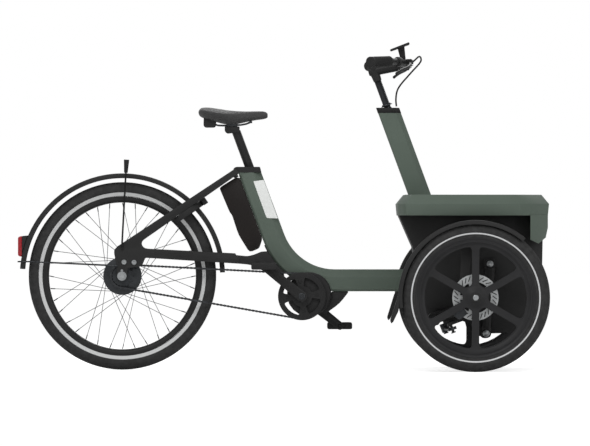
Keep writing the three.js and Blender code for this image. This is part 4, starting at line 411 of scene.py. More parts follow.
def tyre_rubber(name, centre, rings, ring_shade, tread_from, blocks):
    """Rubber for one tyre. rings is (inner, outer) radius of the reflective ring."""
    material, place = new_finish(name, 0.72, 0.0)
    from_axle = place.node(
        "VectorMath",
        {"operation": "MULTIPLY_ADD"},
        {0: place, 1: (1, 0, 1), 2: (-centre.x, 0, -centre.z)},
    )
    radius = from_axle.node("VectorMath", {"operation": "LENGTH"}, {0: from_axle}, 1)
    ahead, up = [from_axle.node("SeparateXYZ", {}, {0: from_axle}, i) for i in (0, 2)]
    angle = up.maths("ARCTAN2", up, ahead)
    across = place.node("SeparateXYZ", {}, {0: place}, 1) - centre.y
    inside, outside = rings
    ring = radius.ramp(inside, inside + 0.0012) * (1 - radius.ramp(outside - 0.0012, outside))
    dust = noise(place, 60, 4.0)
    rubber = dust.ramp(0.3, 0.7).mix(colour("2b2b2b"), colour("363636"))
    waves = radius * (2 * math.pi / RIB_PITCH)
    ribs = waves.maths("SINE", waves)
    tread = radius.ramp(tread_from, tread_from + 0.002)
    slant = angle * blocks + abs(across) * 260
    block = slant.maths("SINE", slant).ramp(-0.75, -0.35) * abs(across).ramp(0.0012, 0.0022)
    height = tread * block + (1 - tread) * ribs * 0.04
    set_surface(
        material,
        Base_Color=ring.mix(rubber, colour(ring_shade)),
        Roughness=dust * 0.15 + 0.62,
        Normal=bump(height, 0.0016),
    )
    return material


REAR_CENTRE = Vector((AXLE_X, 0, REAR_RADIUS))
front_low, front_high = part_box("front_tyre_left")
FRONT_CENTRE = (front_low + front_high) / 2
FRONT_RADIUS = (front_high.z - front_low.z) / 2
HALF_TRACK = FRONT_CENTRE.y
rear_rubber = tyre_rubber("rear_tyre_rubber", REAR_CENTRE, (0.280, 0.2934), "cfd0d0", 0.318, 84)
front_rubbers = {
    side: tyre_rubber(
        "front_tyre_rubber_" + side,
        Vector((FRONT_CENTRE.x, sign * HALF_TRACK, FRONT_CENTRE.z)),
        (0.2185, 0.2246),
        "d2d3d4",
        0.246,
        66,
    )
    for side, sign in SIDES
}
print("front wheel centre", [round(v, 3) for v in FRONT_CENTRE], "radius", round(FRONT_RADIUS, 3))

# %% Every CAD node takes the finish of its slot
FINISHES = {
    "green_paint": green_paint,
    "black_paint": black_paint,
    "black_plastic": black_plastic,
    "dark_shell": dark_shell,
    "tyre_rubber": rear_rubber,
    "grip_rubber": grip_rubber,
    "cable_sheath": cable_sheath,
    "wheel_paint": wheel_paint,
    "bare_steel": bare_steel,
    "dark_steel": dark_steel,
    "battery_case": battery_case,
    "red_lens": red_lens,
    "saddle_cover": saddle_cover,
}
SLOT_OF = {part["node"]: part["material_slot"] for part in frame["record"]["subparts"]}
BODIES = frame["record"]["behaviour"]["bodies"]
BODY_OF = {node: body for body, members in BODIES.items() for node in members}
for name, node in nodes.items():
    node.data.materials.clear()
    node.data.materials.append(FINISHES[SLOT_OF[name]])
print("finishes:", len(FINISHES))

# %% [markdown]
# ## Pieces
#
# Each new piece starts as a bmesh. The helper makes it an object, smooths the faces that meet at a
# shallow angle, and lets it ride on the body of the CAD node that it stands for.

# %% From a bmesh to a piece
def piece(name, shape, body, finish, stands_for=(), smooth_under=35):
    mesh = bpy.data.meshes.new(name)
    bmesh.ops.remove_doubles(shape, verts=shape.verts, dist=1e-6)
    bmesh.ops.recalc_face_normals(shape, faces=shape.faces)
    shape.to_mesh(mesh)
    shape.free()
    mesh.polygons.foreach_set("use_smooth", [True] * len(mesh.polygons))
    mesh.set_sharp_from_angle(angle=math.radians(smooth_under))
    made = bpy.data.objects.new(name, mesh)
    SCENE.collection.objects.link(made)
    mesh.materials.append(finish)
    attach(made, body)
    if stands_for:
        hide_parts(*stands_for)
    return made


def ring_of(profile, centre, steps):
    """Spins a closed profile of (radius, along) pairs about an axle through the centre."""
    shape = bmesh.new()
    corners = [shape.verts.new(centre + Vector((radius, along, 0))) for radius, along in profile]
    edges = [shape.edges.new((corners[i], corners[(i + 1) % len(corners)])) for i in range(len(corners))]
    bmesh.ops.spin(
        shape,
        geom=corners + edges,
        cent=centre,
        axis=(0, 1, 0),
        angle=2 * math.pi,
        steps=steps,
        use_merge=True,
    )
    return shape


# %% [markdown]
# Many CAD nodes already have the right shape and only lack the small rounded edges that catch the
# light. The next helper copies such a node, merges its loose triangles into whole faces and bevels
# the sharp edges. It never touches the CAD node itself, which is only hidden.

# %% Eased copies of CAD nodes
def merged(node):
    """The mesh of a CAD node, with its loose triangles merged into whole faces."""
    shape = bmesh.new()
    shape.from_mesh(nodes[node].data)
    bmesh.ops.remove_doubles(shape, verts=shape.verts, dist=2e-5)
    bmesh.ops.dissolve_limit(shape, angle_limit=math.radians(0.5), verts=shape.verts, edges=shape.edges)
    return shape


def eased(node, width=0.0012, smooth_under=35):
    shape = merged(node)
    if width:
        least = math.radians(32)
        sharp = [e for e in shape.edges if len(e.link_faces) == 2 and e.calc_face_angle() > least]
        bmesh.ops.bevel(
            shape,
            geom=sharp,
            offset=width,
            offset_type="OFFSET",
            affect="EDGES",
            segments=2,
            profile=0.5,
            clamp_overlap=True,
            material=-1,
        )
    return piece(
        node + "_eased",
        shape,
        BODY_OF[node],
        FINISHES[SLOT_OF[node]],
        (node,),
        smooth_under=smooth_under,
    )


# %% [markdown]
# ### Tyres
#
# A tyre is a lathe form. Its section is nearly round, with a flatter crown that carries the tread
# and straight walls down to the beads in the rim.

# %% Three tyres
def tyre_section(radius, bead_radius, half, bead_half):
    belly = radius - half
    crown = half * 0.97
    points = [(bead_radius, -bead_half), (bead_radius + 0.004, -bead_half - 0.002)]
    for step in range(21):
        angle = math.radians(-128 + 256 * step / 20)
        across = half * math.sin(angle)
        up = crown * math.cos(angle)
        height = belly + up * (1.0 + 0.12 * (1 - abs(across) / half)) if up > 0 else belly + up * 0.95
        if height > bead_radius + 0.006:
            points.append((min(height, radius), across))
    return points + [(bead_radius + 0.004, bead_half + 0.002), (bead_radius, bead_half)]


rear_section = tyre_section(REAR_RADIUS, 0.2795, 0.0248, 0.0145)
front_section = tyre_section(FRONT_RADIUS, 0.2055, 0.0268, 0.0195)
piece("rear_tyre_skin", ring_of(rear_section, REAR_CENTRE, 128), "rear_wheel", rear_rubber, ("rear_tyre",))
for side, sign in SIDES:
    centre = Vector((FRONT_CENTRE.x, sign * HALF_TRACK, FRONT_CENTRE.z))
    piece(
        "front_tyre_skin_" + side,
        ring_of(front_section, centre, 112),
        "front_wheel_" + side,
        front_rubbers[side],
        ("front_tyre_" + side,),
    )

# %% [markdown]
# ### Rear wheel
#
# The rim is a box extrusion, also turned. Thirty-six thin spokes run crossed from the hub's two
# flanges to the rim: each leaves its flange almost along it. Every spoke is one thin cone with few
# faces, because there are many of them.

# %% Rim, hub and spokes
rim_section = [
    (0.2575, -0.004), (0.2625, -0.012), (0.268, -0.0146), (0.2792, -0.0146),
    (0.2792, 0.0146), (0.268, 0.0146), (0.2625, 0.012), (0.2575, 0.004),
]
piece("rear_rim_smooth", ring_of(rim_section, REAR_CENTRE, 128), "rear_wheel", black_paint, ("rear_rim",))


def rod(shape, start, end, radius, sides=8, end_radius=None):
    """Adds a round rod between two points."""
    along = end - start
    turn = along.to_track_quat("Z", "Y").to_matrix().to_4x4()
    place = Matrix.Translation((start + end) / 2) @ turn
    bmesh.ops.create_cone(
        shape,
        cap_ends=True,
        segments=sides,
        radius1=radius,
        radius2=radius if end_radius is None else end_radius,
        depth=along.length,
        matrix=place,
    )


hub_profile = [
    (0.0106, -0.0575), (0.0195, -0.0575), (0.0205, -0.0565), (0.0215, -0.047), (0.030, -0.0445),
    (0.060, -0.0405), (0.0665, -0.0385), (0.0665, -0.0295), (0.0645, -0.0275), (0.046, -0.0265),
    (0.0395, -0.022), (0.0385, 0.0), (0.0395, 0.022), (0.046, 0.0265), (0.0645, 0.0275),
    (0.0665, 0.0295), (0.0665, 0.0385), (0.060, 0.0405), (0.024, 0.0555), (0.0195, 0.0575),
    (0.0106, 0.0575),
]


def on_wheel(radius, angle, across):
    """A place on the rear wheel: its distance from the axle, its angle and its side."""
    return REAR_CENTRE + Vector((radius * math.cos(angle), across, radius * math.sin(angle)))


hub = ring_of(hub_profile, REAR_CENTRE, 64)
SPOKES = 36
for index in range(SPOKES):
    side = 1 if index % 2 else -1
    swing = 1 if (index // 2) % 2 else -1
    outer = index * 2 * math.pi / SPOKES
    inner = outer + swing * 3 * (4 * math.pi / SPOKES)
    foot = on_wheel(0.058, inner, side * (0.033 + swing * 0.003))
    tip = on_wheel(0.2565, outer, side * (0.003 + swing * 0.0015))
    rod(hub, foot, tip, 0.001, 6)
    rod(hub, tip.lerp(foot, 0.07), tip, 0.0018, 6)
for index in range(12):
    stud = Matrix.Translation(on_wheel(0.04, index * 2 * math.pi / 12, -0.043))
    bmesh.ops.create_icosphere(hub, subdivisions=1, radius=0.0026, matrix=stud)
piece("rear_hub_and_spokes", hub, "rear_wheel", dark_steel, ("rear_hub",), smooth_under=30)
print("spokes:", SPOKES)

# %% [markdown]
# ### Saddle
#
# The saddle is a padded shell: wide and crowned at the back, narrow at the nose. The form starts as
# the CAD solid. Its flanks are drawn down a little where the thighs lie, and it is subdivided, so it
# keeps its place and its size. A cover over foam needs no cloth simulation, because it is stretched
# tight.

# %% Saddle
saddle_shape = merged("saddle")
bmesh.ops.triangulate(saddle_shape, faces=[f for f in saddle_shape.faces if len(f.verts) > 4])
for corner in saddle_shape.verts:
    flank = math.exp(-(((corner.co.x - AXLE_X) - 0.378) / 0.05) ** 2)
    if corner.co.z < 0.892 and abs(corner.co.y) > 0.018:
        corner.co.z -= 0.014 * flank
saddle = piece("saddle_padded", saddle_shape, "saddle", saddle_cover, ("saddle",), smooth_under=180)
rounding = saddle.modifiers.new("rounding", "SUBSURF")
rounding.levels = rounding.render_levels = 3

# %% [markdown]
# ### Tools for round and cut pieces
#
# Most parts of a cycle are turned on a lathe, bent from tube or cut from plate. lathe spins a profile
# about any line. bent_tube sweeps a round section along a smooth path. plate draws out an outline,
# whose corners rounded and flat have softened. carved subtracts cutters, as a mill or a laser would.

# %% Lathe, bent tube, plate and cut
def lathe(shape, start, direction, profile, steps=48):
    """Adds a turned form: profile is (radius, along) from start, and both ends are closed."""
    direction = direction.normalized()
    outwards = direction.orthogonal().normalized()
    corners = [shape.verts.new(start + direction * along + outwards * radius) for radius, along in profile]
    edges = [shape.edges.new(pair) for pair in zip(corners, corners[1:])]
    bmesh.ops.spin(
        shape,
        geom=corners + edges,
        cent=start,
        axis=direction,
        angle=2 * math.pi,
        steps=steps,
        use_merge=True,
    )
    rim = [e for e in shape.edges if e.is_boundary]
    bmesh.ops.holes_fill(shape, edges=rim, sides=0)


def evaluated(holder):
    """An object as it stands after its curve bevel or its modifiers, as a bmesh."""
    bpy.context.view_layer.update()
    graph = bpy.context.evaluated_depsgraph_get()
    shape = bmesh.new()
    shape.from_mesh(bpy.data.meshes.new_from_object(holder.evaluated_get(graph)))
    return shape


def bent_tube(points, radius, sides=4, taper=None):
    """A round tube through points, with closed ends. taper holds each point's share of the radius."""
    data = bpy.data.curves.new("route", "CURVE")
    data.dimensions = "3D"
    data.bevel_depth = radius
    data.bevel_resolution = sides
    data.use_fill_caps = True
    spline = data.splines.new("NURBS")
    spline.points.add(len(points) - 1)
    for i, place in enumerate(points):
        spline.points[i].co = (*place, 1)
        spline.points[i].radius = taper[i] if taper else 1
    spline.order_u = 4
    spline.use_endpoint_u = True
    spline.resolution_u = 8
    holder = bpy.data.objects.new("route", data)
    SCENE.collection.objects.link(holder)
    shape = evaluated(holder)
    bpy.data.objects.remove(holder)
    bmesh.ops.remove_doubles(shape, verts=shape.verts, dist=1e-6)
    return shape


def add_to(shape, other):
    """Adds another bmesh to this one."""
    mesh = bpy.data.meshes.new("part")
    other.to_mesh(mesh)
    other.free()
    shape.from_mesh(mesh)


def rounded(corners, steps=6):
    """Corners of an outline, [across, up, rounding], with each rounding drawn as a short curve."""
    points = []
    for i, corner in enumerate(corners):
        here = Vector(corner[:2])
        rounding = corner[2] if len(corner) > 2 else 0
        ends = []
        for other in (corners[i - 1], corners[(i + 1) % len(corners)]):
            away = Vector(other[:2]) - here
            ends.append(here + away * min(rounding / away.length, 0.5))
        if not rounding:
            points.append(here)
            continue
        for step in range(steps + 1):
            t = step / steps
            points.append(ends[0].lerp(here, t).lerp(here.lerp(ends[1], t), t))
    return points


def in_metres(pairs):
    return [(first * MM, second * MM) for first, second in pairs]


def flat(corners, steps=6):
    """The rounded outline of a plate, turned from millimetres into metres."""
    return in_metres(rounded(corners, steps))


def extruded(shape, face, along, keep=True):
    """Draws a face out along a vector, and keeps the face itself as the closed end."""
    grown = bmesh.ops.extrude_face_region(shape, geom=[face], use_keep_orig=keep)
    moved = [v for v in grown["geom"] if isinstance(v, bmesh.types.BMVert)]
    bmesh.ops.translate(shape, verts=moved, vec=along)


def plate(shape, outline, low, high, origin):
    """Adds a plate with an upright outline (X across, Z up), between two distances along Y."""
    low, high = sorted((low, high))
    corners = [shape.verts.new(origin + Vector((p[0], low, p[1]))) for p in outline]
    extruded(shape, shape.faces.new(corners), (0, high - low, 0))


def carved(name, shape, cutters):
    """Subtracts the cutters' bmesh from the shape, and returns the result as a bmesh."""
    pair = []
    for label, source in ((name, shape), (name + "_cutter", cutters)):
        bmesh.ops.recalc_face_normals(source, faces=source.faces)
        mesh = bpy.data.meshes.new(label)
        source.to_mesh(mesh)
        source.free()
        holder = bpy.data.objects.new(label, mesh)
        SCENE.collection.objects.link(holder)
        pair.append(holder)
    cut = pair[0].modifiers.new("cut", "BOOLEAN")
    cut.operation = "DIFFERENCE"
    cut.solver = "EXACT"
    cut.object = pair[1]
    result = evaluated(pair[0])
    for holder in pair:
        bpy.data.objects.remove(holder)
    return result


def softened(made, width=0.0008, segments=2):
    """Rounds the sharp edges of a finished piece with a Bevel modifier."""
    edge = made.modifiers.new("edges", "BEVEL")
    edge.width = width
    edge.segments = segments
    edge.limit_method = "ANGLE"
    edge.angle_limit = math.radians(40)


# %% [markdown]
# ### Panels, seat collar and column cap
#
# On each side of the seat part lies a thin white panel, bare all over, which follows the front edge.
# The top of the seat part and the collar on it are cut level, and so is the black cap that closes the
# top of the steering column.

# %% Panels, collar and cap
GROUND = spot(0, 0, 0)
PANEL = [(459.8, 661, 3), (506.1, 532.1, 6), (545.5, 530.4, 3), (496, 665.5, 3)]
for side, sign in SIDES:
    panel = bmesh.new()
    plate(panel, flat(PANEL), sign * 36.1 * MM, sign * 36.7 * MM, GROUND)
    piece("seat_panel_" + side, panel, "frame", white_panel)

WEDGE = [(410.2, 679.8), (405.6, 691.9), (443, 691.9)]
wedge = bmesh.new()
plate(wedge, in_metres(WEDGE), -0.0345, 0.0345, GROUND)
piece("seat_part_top", wedge, "frame", green_paint, smooth_under=30)
COLLAR = [(386, 692.2, 4), (391, 707, 4), (399, 711.5, 3)]
COLLAR += [(482.8, 711.5, 3), (487.6, 692.2, 1), (404, 692.2, 1)]
band = bmesh.new()
plate(band, flat(COLLAR, 3), -0.0368, 0.0368, GROUND)
post_hole = bmesh.new()
SEAT_UP = Vector((-0.34857, 0, 0.93728))
POST_HOLE = [(0.0, 0.0), (0.0158, 0.0), (0.0158, 0.09), (0.0, 0.09)]
lathe(post_hole, spot(451.29, 0, 695.3) - SEAT_UP * 0.04, SEAT_UP, POST_HOLE, 40)
band = carved("collar", band, post_hole)
softened(piece("seat_collar_level", band, "frame", black_plastic, ("seat_collar",)), 0.0012)

LEAN_SINE, LEAN_COSINE = 0.34530, 0.93849
STEER_UP = Vector((-LEAN_SINE, 0, LEAN_COSINE))
STEER_AHEAD = Vector((LEAN_COSINE, 0, LEAN_SINE))
STEER_FOOT_Z = 250.2
STEER_FOOT = spot(1176.51, 0, STEER_FOOT_Z)
COLUMN_TOP = 918.0
STEM_RISE = 158.4


def leaned(up, forward=0.0, side=0.0):
    """A place in the leaning frame of the steering, in millimetres from its foot."""
    return STEER_FOOT + (STEER_UP * up + STEER_AHEAD * forward) * MM + Vector((0, side * MM, 0))


CAP = [(-37.5, -31, 8), (20.5, -31, 2), (37.5, -14, 2), (37.5, 14, 2), (20.5, 31, 2), (-37.5, 31, 8)]
cap = bmesh.new()
cap_face = cap.faces.new([cap.verts.new(leaned(660, p.x, p.y)) for p in rounded(CAP)])
extruded(cap, cap_face, STEER_UP * 0.1, keep=False)
for height, outer in ((COLUMN_TOP - 17.5, False), (COLUMN_TOP + 0.2, True)):
    bmesh.ops.bisect_plane(
        cap,
        geom=cap.verts[:] + cap.edges[:] + cap.faces[:],
        plane_co=spot(0, 0, height),
        plane_no=(0, 0, 1),
        clear_outer=outer,
        clear_inner=not outer,
    )
top_rim = [e for e in cap.edges if e.is_boundary and min(v.co.z for v in e.verts) > (COLUMN_TOP - 2) * MM]
lid = bmesh.ops.holes_fill(cap, edges=top_rim, sides=0)["faces"]
bmesh.ops.inset_region(cap, faces=lid, thickness=0.011, use_even_offset=True)
bmesh.ops.delete(cap, geom=lid, context="FACES")
column_cap = piece("column_cap", cap, "frame", black_plastic, smooth_under=30)
skin = column_cap.modifiers.new("wall", "SOLIDIFY")
skin.thickness = 0.0008
skin.offset = 1
print("column cap", [round(v, 3) for v in column_cap.dimensions])

# %% Block under the tail of the saddle
TAIL_BLOCK = [(285.5, 889, 3), (284.5, 855, 7), (291, 849.5, 4)]
TAIL_BLOCK += [(324, 849.5, 6), (329, 858, 5), (328, 889, 3)]
tail_block = bmesh.new()
plate(tail_block, flat(TAIL_BLOCK, 4), -0.03, 0.03, GROUND)
softened(piece("saddle_tail_block", tail_block, "saddle", black_plastic), 0.004, 3)

# %% [markdown]
# ### Cockpit
#
# The bar is one bent tube, thicker where the stem clamps it. Rubber grips with turned ribs slide
# over its ends, and each brake lever is a slim blade on a clamp. The control cable is a free cord:
# it leaves the right lever, bends down in front of the stem and ends just above the column's cap, so
# that it can turn with the bar.

# %% Bar, stem and levers
BAR_X, BAR_Z, BAR_HALF = 985.09, 1066.89, 308.0


def by_bar(share, side=1):
    """A place by the bar, from its shares of half the bar's width."""
    return spot(BAR_X + share[0] * BAR_HALF, side * share[1] * BAR_HALF, BAR_Z + share[2] * BAR_HALF)


def lever_pivot(side):
    return spot(1010.09, side * 150, 1072.9)


GRIP_START = (-0.166, 0.617, 0.036)
TIP = (-0.386, 1, 0.019)
SWEEP = [(0, 0.162, 0.006), (-0.016, 0.292, 0.019), (-0.075, 0.455, 0.036)]
SWEEP += [GRIP_START, (-0.28, 0.81, 0.027), TIP]
bar_route = [by_bar(s, -1) for s in reversed(SWEEP)] + [by_bar((0, 0, 0))] + [by_bar(s) for s in SWEEP]
bar_shape = bent_tube(bar_route, 0.0115, 6)
lathe(
    bar_shape,
    spot(BAR_X, -52, BAR_Z),
    LEFTWARDS,
    [(0.0115, 0), (0.0155, 0.008), (0.0159, 0.02), (0.0159, 0.084), (0.0155, 0.096), (0.0115, 0.104)],
)
for side in (-1, 1):
    lathe(
        bar_shape,
        by_bar((-0.052, 0.403, 0.031), side),
        by_bar((-0.075, 0.461, 0.034), side) - by_bar((-0.052, 0.403, 0.031), side),
        [(0.0125, 0), (0.017, 0.001), (0.0172, 0.016), (0.0125, 0.0175)],
        32,
    )
    lathe(
        bar_shape,
        by_bar((-0.062, 0.429, 0.032), side),
        by_bar((0.101, 0.377, 0.032), side) - by_bar((-0.062, 0.429, 0.032), side),
        [(0.004, 0), (0.0088, 0.0015), (0.009, 0.012), (0.0078, 0.014)]
        + [(0.0078, 0.034), (0.009, 0.036), (0.009, 0.048), (0.004, 0.0515)],
        24,
    )
    pivot = lever_pivot(side)
    ear = [(0.0, 0), (0.0078, 0.0003), (0.0078, 0.0027), (0.0, 0.003)]
    for lift in (-0.0105, 0.0075):
        lathe(bar_shape, pivot + Vector((0, 0, lift)), UPWARDS, ear, 20)
    rod(bar_shape, pivot + Vector((0, 0, -0.0118)), pivot + Vector((0, 0, 0.0118)), 0.003, 12)
    for height in (1063.5, 1082.5):
        rod(bar_shape, spot(994, side * 130, height), Vector((pivot.x, pivot.y, height * MM)), 0.0042, 10)
piece("handlebar_smooth", bar_shape, "steering", black_paint, ("handlebar",), smooth_under=40)

LEVER = [(0.072, 0.492, 0.019), (0.075, 0.56, 0.008), (0.062, 0.666, -0.026)]
LEVER += [(0.012, 0.76, -0.05), (-0.042, 0.851, -0.071), (-0.088, 0.916, -0.11)]
LEVER_EYE = [(0.0036, 0), (0.008, 0.0004), (0.008, 0.0106), (0.0036, 0.011)]
for side, sign in SIDES:
    blade = bent_tube([by_bar(s, sign) for s in LEVER], 0.0055, 4, [0.95, 0.95, 0.9, 0.85, 0.85, 0.9])
    tip = by_bar(LEVER[-1], sign)
    bmesh.ops.create_icosphere(blade, subdivisions=2, radius=0.0054, matrix=Matrix.Translation(tip))
    pivot = lever_pivot(sign)
    lathe(blade, pivot - Vector((0, 0, 0.0055)), UPWARDS, LEVER_EYE, 24)
    lever = "brake_lever_" + side
    piece("brake_blade_" + side, blade, lever, black_paint, (lever,), smooth_under=40)

    inner, outer = by_bar(GRIP_START, sign), by_bar(TIP, sign)
    reach = (outer - inner).length
    ribs = [(0.0122, 0.0015), (0.0172, 0.002), (0.0178, 0.004)]
    rib_count = 17
    for i in range(rib_count):
        start = 0.006 + i * (reach - 0.014) / rib_count
        ribs += [(0.0167, start), (0.0177, start + 0.0014), (0.0177, start + 0.0052)]
    ribs += [(0.0178, reach - 0.004), (0.0178, reach), (0.0165, reach + 0.0014), (0.0, reach + 0.0016)]
    grip = bmesh.new()
    lathe(grip, inner, outer - inner, ribs, 40)
    piece("grip_ribbed_" + side, grip, "steering", grip_rubber, ("grip_" + side,), smooth_under=30)

stem_shape = bmesh.new()
STEM_TOP = (COLUMN_TOP - STEER_FOOT_Z) / LEAN_COSINE + STEM_RISE
lathe(
    stem_shape,
    leaned(STEM_TOP - 58),
    STEER_UP,
    [(0.0128, 0), (0.0142, 0.0008), (0.0152, 0.012), (0.0168, 0.03)]
    + [(0.0189, 0.046), (0.019, 0.054), (0.0172, 0.058), (0.0, 0.0585)],
)
stem_head = leaned(STEM_TOP - 19)
bar_middle = spot(BAR_X, 0, BAR_Z)
reach = (bar_middle - stem_head).length
lathe(
    stem_shape,
    stem_head,
    bar_middle - stem_head,
    [(0.0, -0.0205), (0.0135, -0.019), (0.0172, -0.014), (0.0176, 0.0)]
    + [(0.0168, 0.05), (0.0158, reach - 0.012), (0.0158, reach - 0.0165)],
)
lathe(
    stem_shape,
    spot(BAR_X, -24, BAR_Z),
    LEFTWARDS,
    [(0.0165, 0), (0.0208, 0.0003), (0.0216, 0.0015), (0.0216, 0.0465), (0.0208, 0.0477), (0.0165, 0.048)],
)
for across in (-0.013, 0.013):
    for lift in (-0.0125, 0.0125):
        head = bar_middle + Vector((0.0165, across, lift))
        rod(stem_shape, head, head + Vector((0.0045, 0, 0.0006)), 0.0042, 12, 0.0036)
piece("stem_smooth", stem_shape, "steering", black_paint, ("stem",), smooth_under=40)

CABLE = [(0.106, -0.37, 0.034), (0.179, -0.273, 0.097), (0.198, -0.162, 0.045), (0.081, -0.123, -0.091)]
CABLE += [(-0.062, -0.104, -0.269), (-0.084, -0.097, -0.383), (-0.078, -0.091, -0.466)]


def smooth_route(points, each=4):
    """Points on a centripetal Catmull-Rom curve through the given ones."""
    route = []
    padded = [points[0] * 2 - points[1]] + points + [points[-1] * 2 - points[-2]]
    for p0, p1, p2, p3 in zip(padded, padded[1:], padded[2:], padded[3:]):
        t0 = 0.0
        t1 = t0 + (p1 - p0).length ** 0.5
        t2 = t1 + (p2 - p1).length ** 0.5
        t3 = t2 + (p3 - p2).length ** 0.5
        for step in range(each):
            t = t1 + (t2 - t1) * step / each
            a1 = p0 * ((t1 - t) / (t1 - t0)) + p1 * ((t - t0) / (t1 - t0))
            a2 = p1 * ((t2 - t) / (t2 - t1)) + p2 * ((t - t1) / (t2 - t1))
            a3 = p2 * ((t3 - t) / (t3 - t2)) + p3 * ((t - t2) / (t3 - t2))
            b1 = a1 * ((t2 - t) / (t2 - t0)) + a2 * ((t - t0) / (t2 - t0))
            b2 = a2 * ((t3 - t) / (t3 - t1)) + a3 * ((t - t1) / (t3 - t1))
            route.append(b1 * ((t2 - t) / (t2 - t1)) + b2 * ((t - t1) / (t2 - t1)))
    return route + [points[-1]]


cable_route = smooth_route([by_bar(s) for s in CABLE])
cable_length = sum((b - a).length for a, b in zip(cable_route, cable_route[1:]))
cable_data = bpy.data.curves.new("control_cable_sheath", "CURVE")
cable_data.dimensions = "3D"
cable_data.bevel_depth = 0.003
cable_data.bevel_resolution = 4
cable_data.use_fill_caps = True
cable_line = cable_data.splines.new("POLY")
cable_line.points.add(len(cable_route) - 1)
for point, place in zip(cable_line.points, cable_route):
    point.co = (*place, 1)
cable = bpy.data.objects.new("control_cable_sheath", cable_data)
SCENE.collection.objects.link(cable)
cable_data.materials.append(cable_sheath)
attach(cable, "steering")
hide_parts("control_cable")
print("cable", round(cable_length, 3), "m,", len(cable_route), "points")

# %% [markdown]
# ### Chain drive
#
# A bicycle chain has a pitch of 12.7 mm: pairs of plates, alternately narrow and wide, on rollers.
# The loop is two arcs and two straight runs, and one short link shape is set along it again and
# again. It keeps its place while the wheels turn in it, so the teeth end just short of its rollers.
# The guard plate on the chainring is a disc with four windows between its four bolts.

# %% Chain, sprocket and chainring
CHAIN_Y = -52
SPROCKET = (Vector((0, REAR_Z)), 40.4)
RING = (Vector((BRACKET_X, BRACKET_Z)), 79.0)
heading = math.atan2(RING[0].y - SPROCKET[0].y, RING[0].x - SPROCKET[0].x)
contact = math.acos((SPROCKET[1] - RING[1]) / (RING[0] - SPROCKET[0]).length)
loop = []
for (centre, radius), first, last in (
    (SPROCKET, heading + contact, heading - contact + 2 * math.pi),
    (RING, heading - contact, heading + contact),
):
    for step in range(49):
        angle = first + (last - first) * step / 48
        loop.append(centre + Vector((math.cos(angle), math.sin(angle))) * radius)
loop.append(loop[0].copy())
lengths = [0.0]
for a, b in zip(loop, loop[1:]):
    lengths.append(lengths[-1] + (b - a).length)
LINKS = 2 * round(lengths[-1] / 25.4)


def along_loop(distance):
    distance %= lengths[-1]
    for i in range(len(loop) - 1):
        if distance <= lengths[i + 1]:
            return loop[i].lerp(loop[i + 1], (distance - lengths[i]) / (lengths[i + 1] - lengths[i]))
    return loop[-1]


chain_shape = bmesh.new()
pitch = lengths[-1] / LINKS
for index in range(LINKS):
    start, end = along_loop(index * pitch), along_loop((index + 1) * pitch)
    ahead = (end - start).normalized()
    square = Vector((-ahead.y, ahead.x))
    upper = [(-3.4, 2.4), (-1.2, 3.8), (2.2, 3.6), (pitch / 2, 2.6)]
    upper += [(pitch - 2.2, 3.6), (pitch + 1.2, 3.8), (pitch + 3.4, 2.4)]
    waist = upper + [(a, -b) for a, b in reversed(upper)]
    outline = in_metres(start + ahead * a + square * b for a, b in waist)
    near, far = (2.7, 3.7) if index % 2 else (1.6, 2.6)
    for side in (-1, 1):
        plate(chain_shape, outline, (CHAIN_Y + side * near) * MM, (CHAIN_Y + side * far) * MM, GROUND)
    roller = [spot(start.x, CHAIN_Y + side * 3.9, start.y) for side in (-1, 1)]
    rod(chain_shape, *roller, 0.0022, 8)
piece("chain_links", chain_shape, "frame", chain_steel, ("chain",), smooth_under=30)
print("chain links:", LINKS, "pitch", round(pitch, 2))


def toothed(shape, centre, tip, root, teeth, low, high, bore):
    """Adds a toothed ring about Y: a zigzag outline with a round bore."""
    outline = []
    for i in range(teeth):
        for share, radius in ((0.0, root), (0.3, root), (0.42, tip), (0.58, tip), (0.7, root)):
            angle = (i + share) * 2 * math.pi / teeth
            outline.append((radius * math.cos(angle), radius * math.sin(angle)))
    plate(shape, in_metres(outline), low * MM, high * MM, centre)
    cutter = bmesh.new()
    bore_profile = [(bore * MM, 0), (bore * MM, (high - low + 2) * MM)]
    lathe(cutter, centre + Vector((0, (low - 1) * MM, 0)), LEFTWARDS, bore_profile)
    return carved("toothed", shape, cutter)


sprocket = toothed(bmesh.new(), spot(0, 0, REAR_Z), 38.0, 33.8, 20, -53.2, -50.8, 20.6)
piece(
    "sprocket_teeth",
    sprocket,
    "rear_sprocket",
    dark_steel,
    ("rear_sprocket",),
    smooth_under=30,
)

ring = toothed(bmesh.new(), spot(BRACKET_X, 0, BRACKET_Z), 76.6, 72.4, 39, -53.2, -50.8, 66)
guard = bmesh.new()
lathe(
    guard,
    spot(BRACKET_X, -58.6, BRACKET_Z),
    LEFTWARDS,
    [(0.0116, 0.0), (0.0795, 0.0), (0.0832, 0.0008), (0.084, 0.0018), (0.0832, 0.0024), (0.0116, 0.0024)],
    96,
)
holes = bmesh.new()
CRANK = math.radians(141.5)
for index in range(4):
    middle = CRANK + index * math.pi / 2
    window = []
    for radius, first, last in ((66.0, -30, 30), (36.0, 30, -30)):
        for step in range(9):
            swing = middle + math.radians(first + (last - first) * step / 8)
            window.append((radius * math.cos(swing), radius * math.sin(swing)))
    window = [(*corner, 9 if i in (0, 8, 9, 17) else 0) for i, corner in enumerate(window)]
    plate(holes, flat(window, 5), -0.064, -0.052, spot(BRACKET_X, 0, BRACKET_Z))
guard = carved("guard", guard, holes)
add_to(guard, ring)
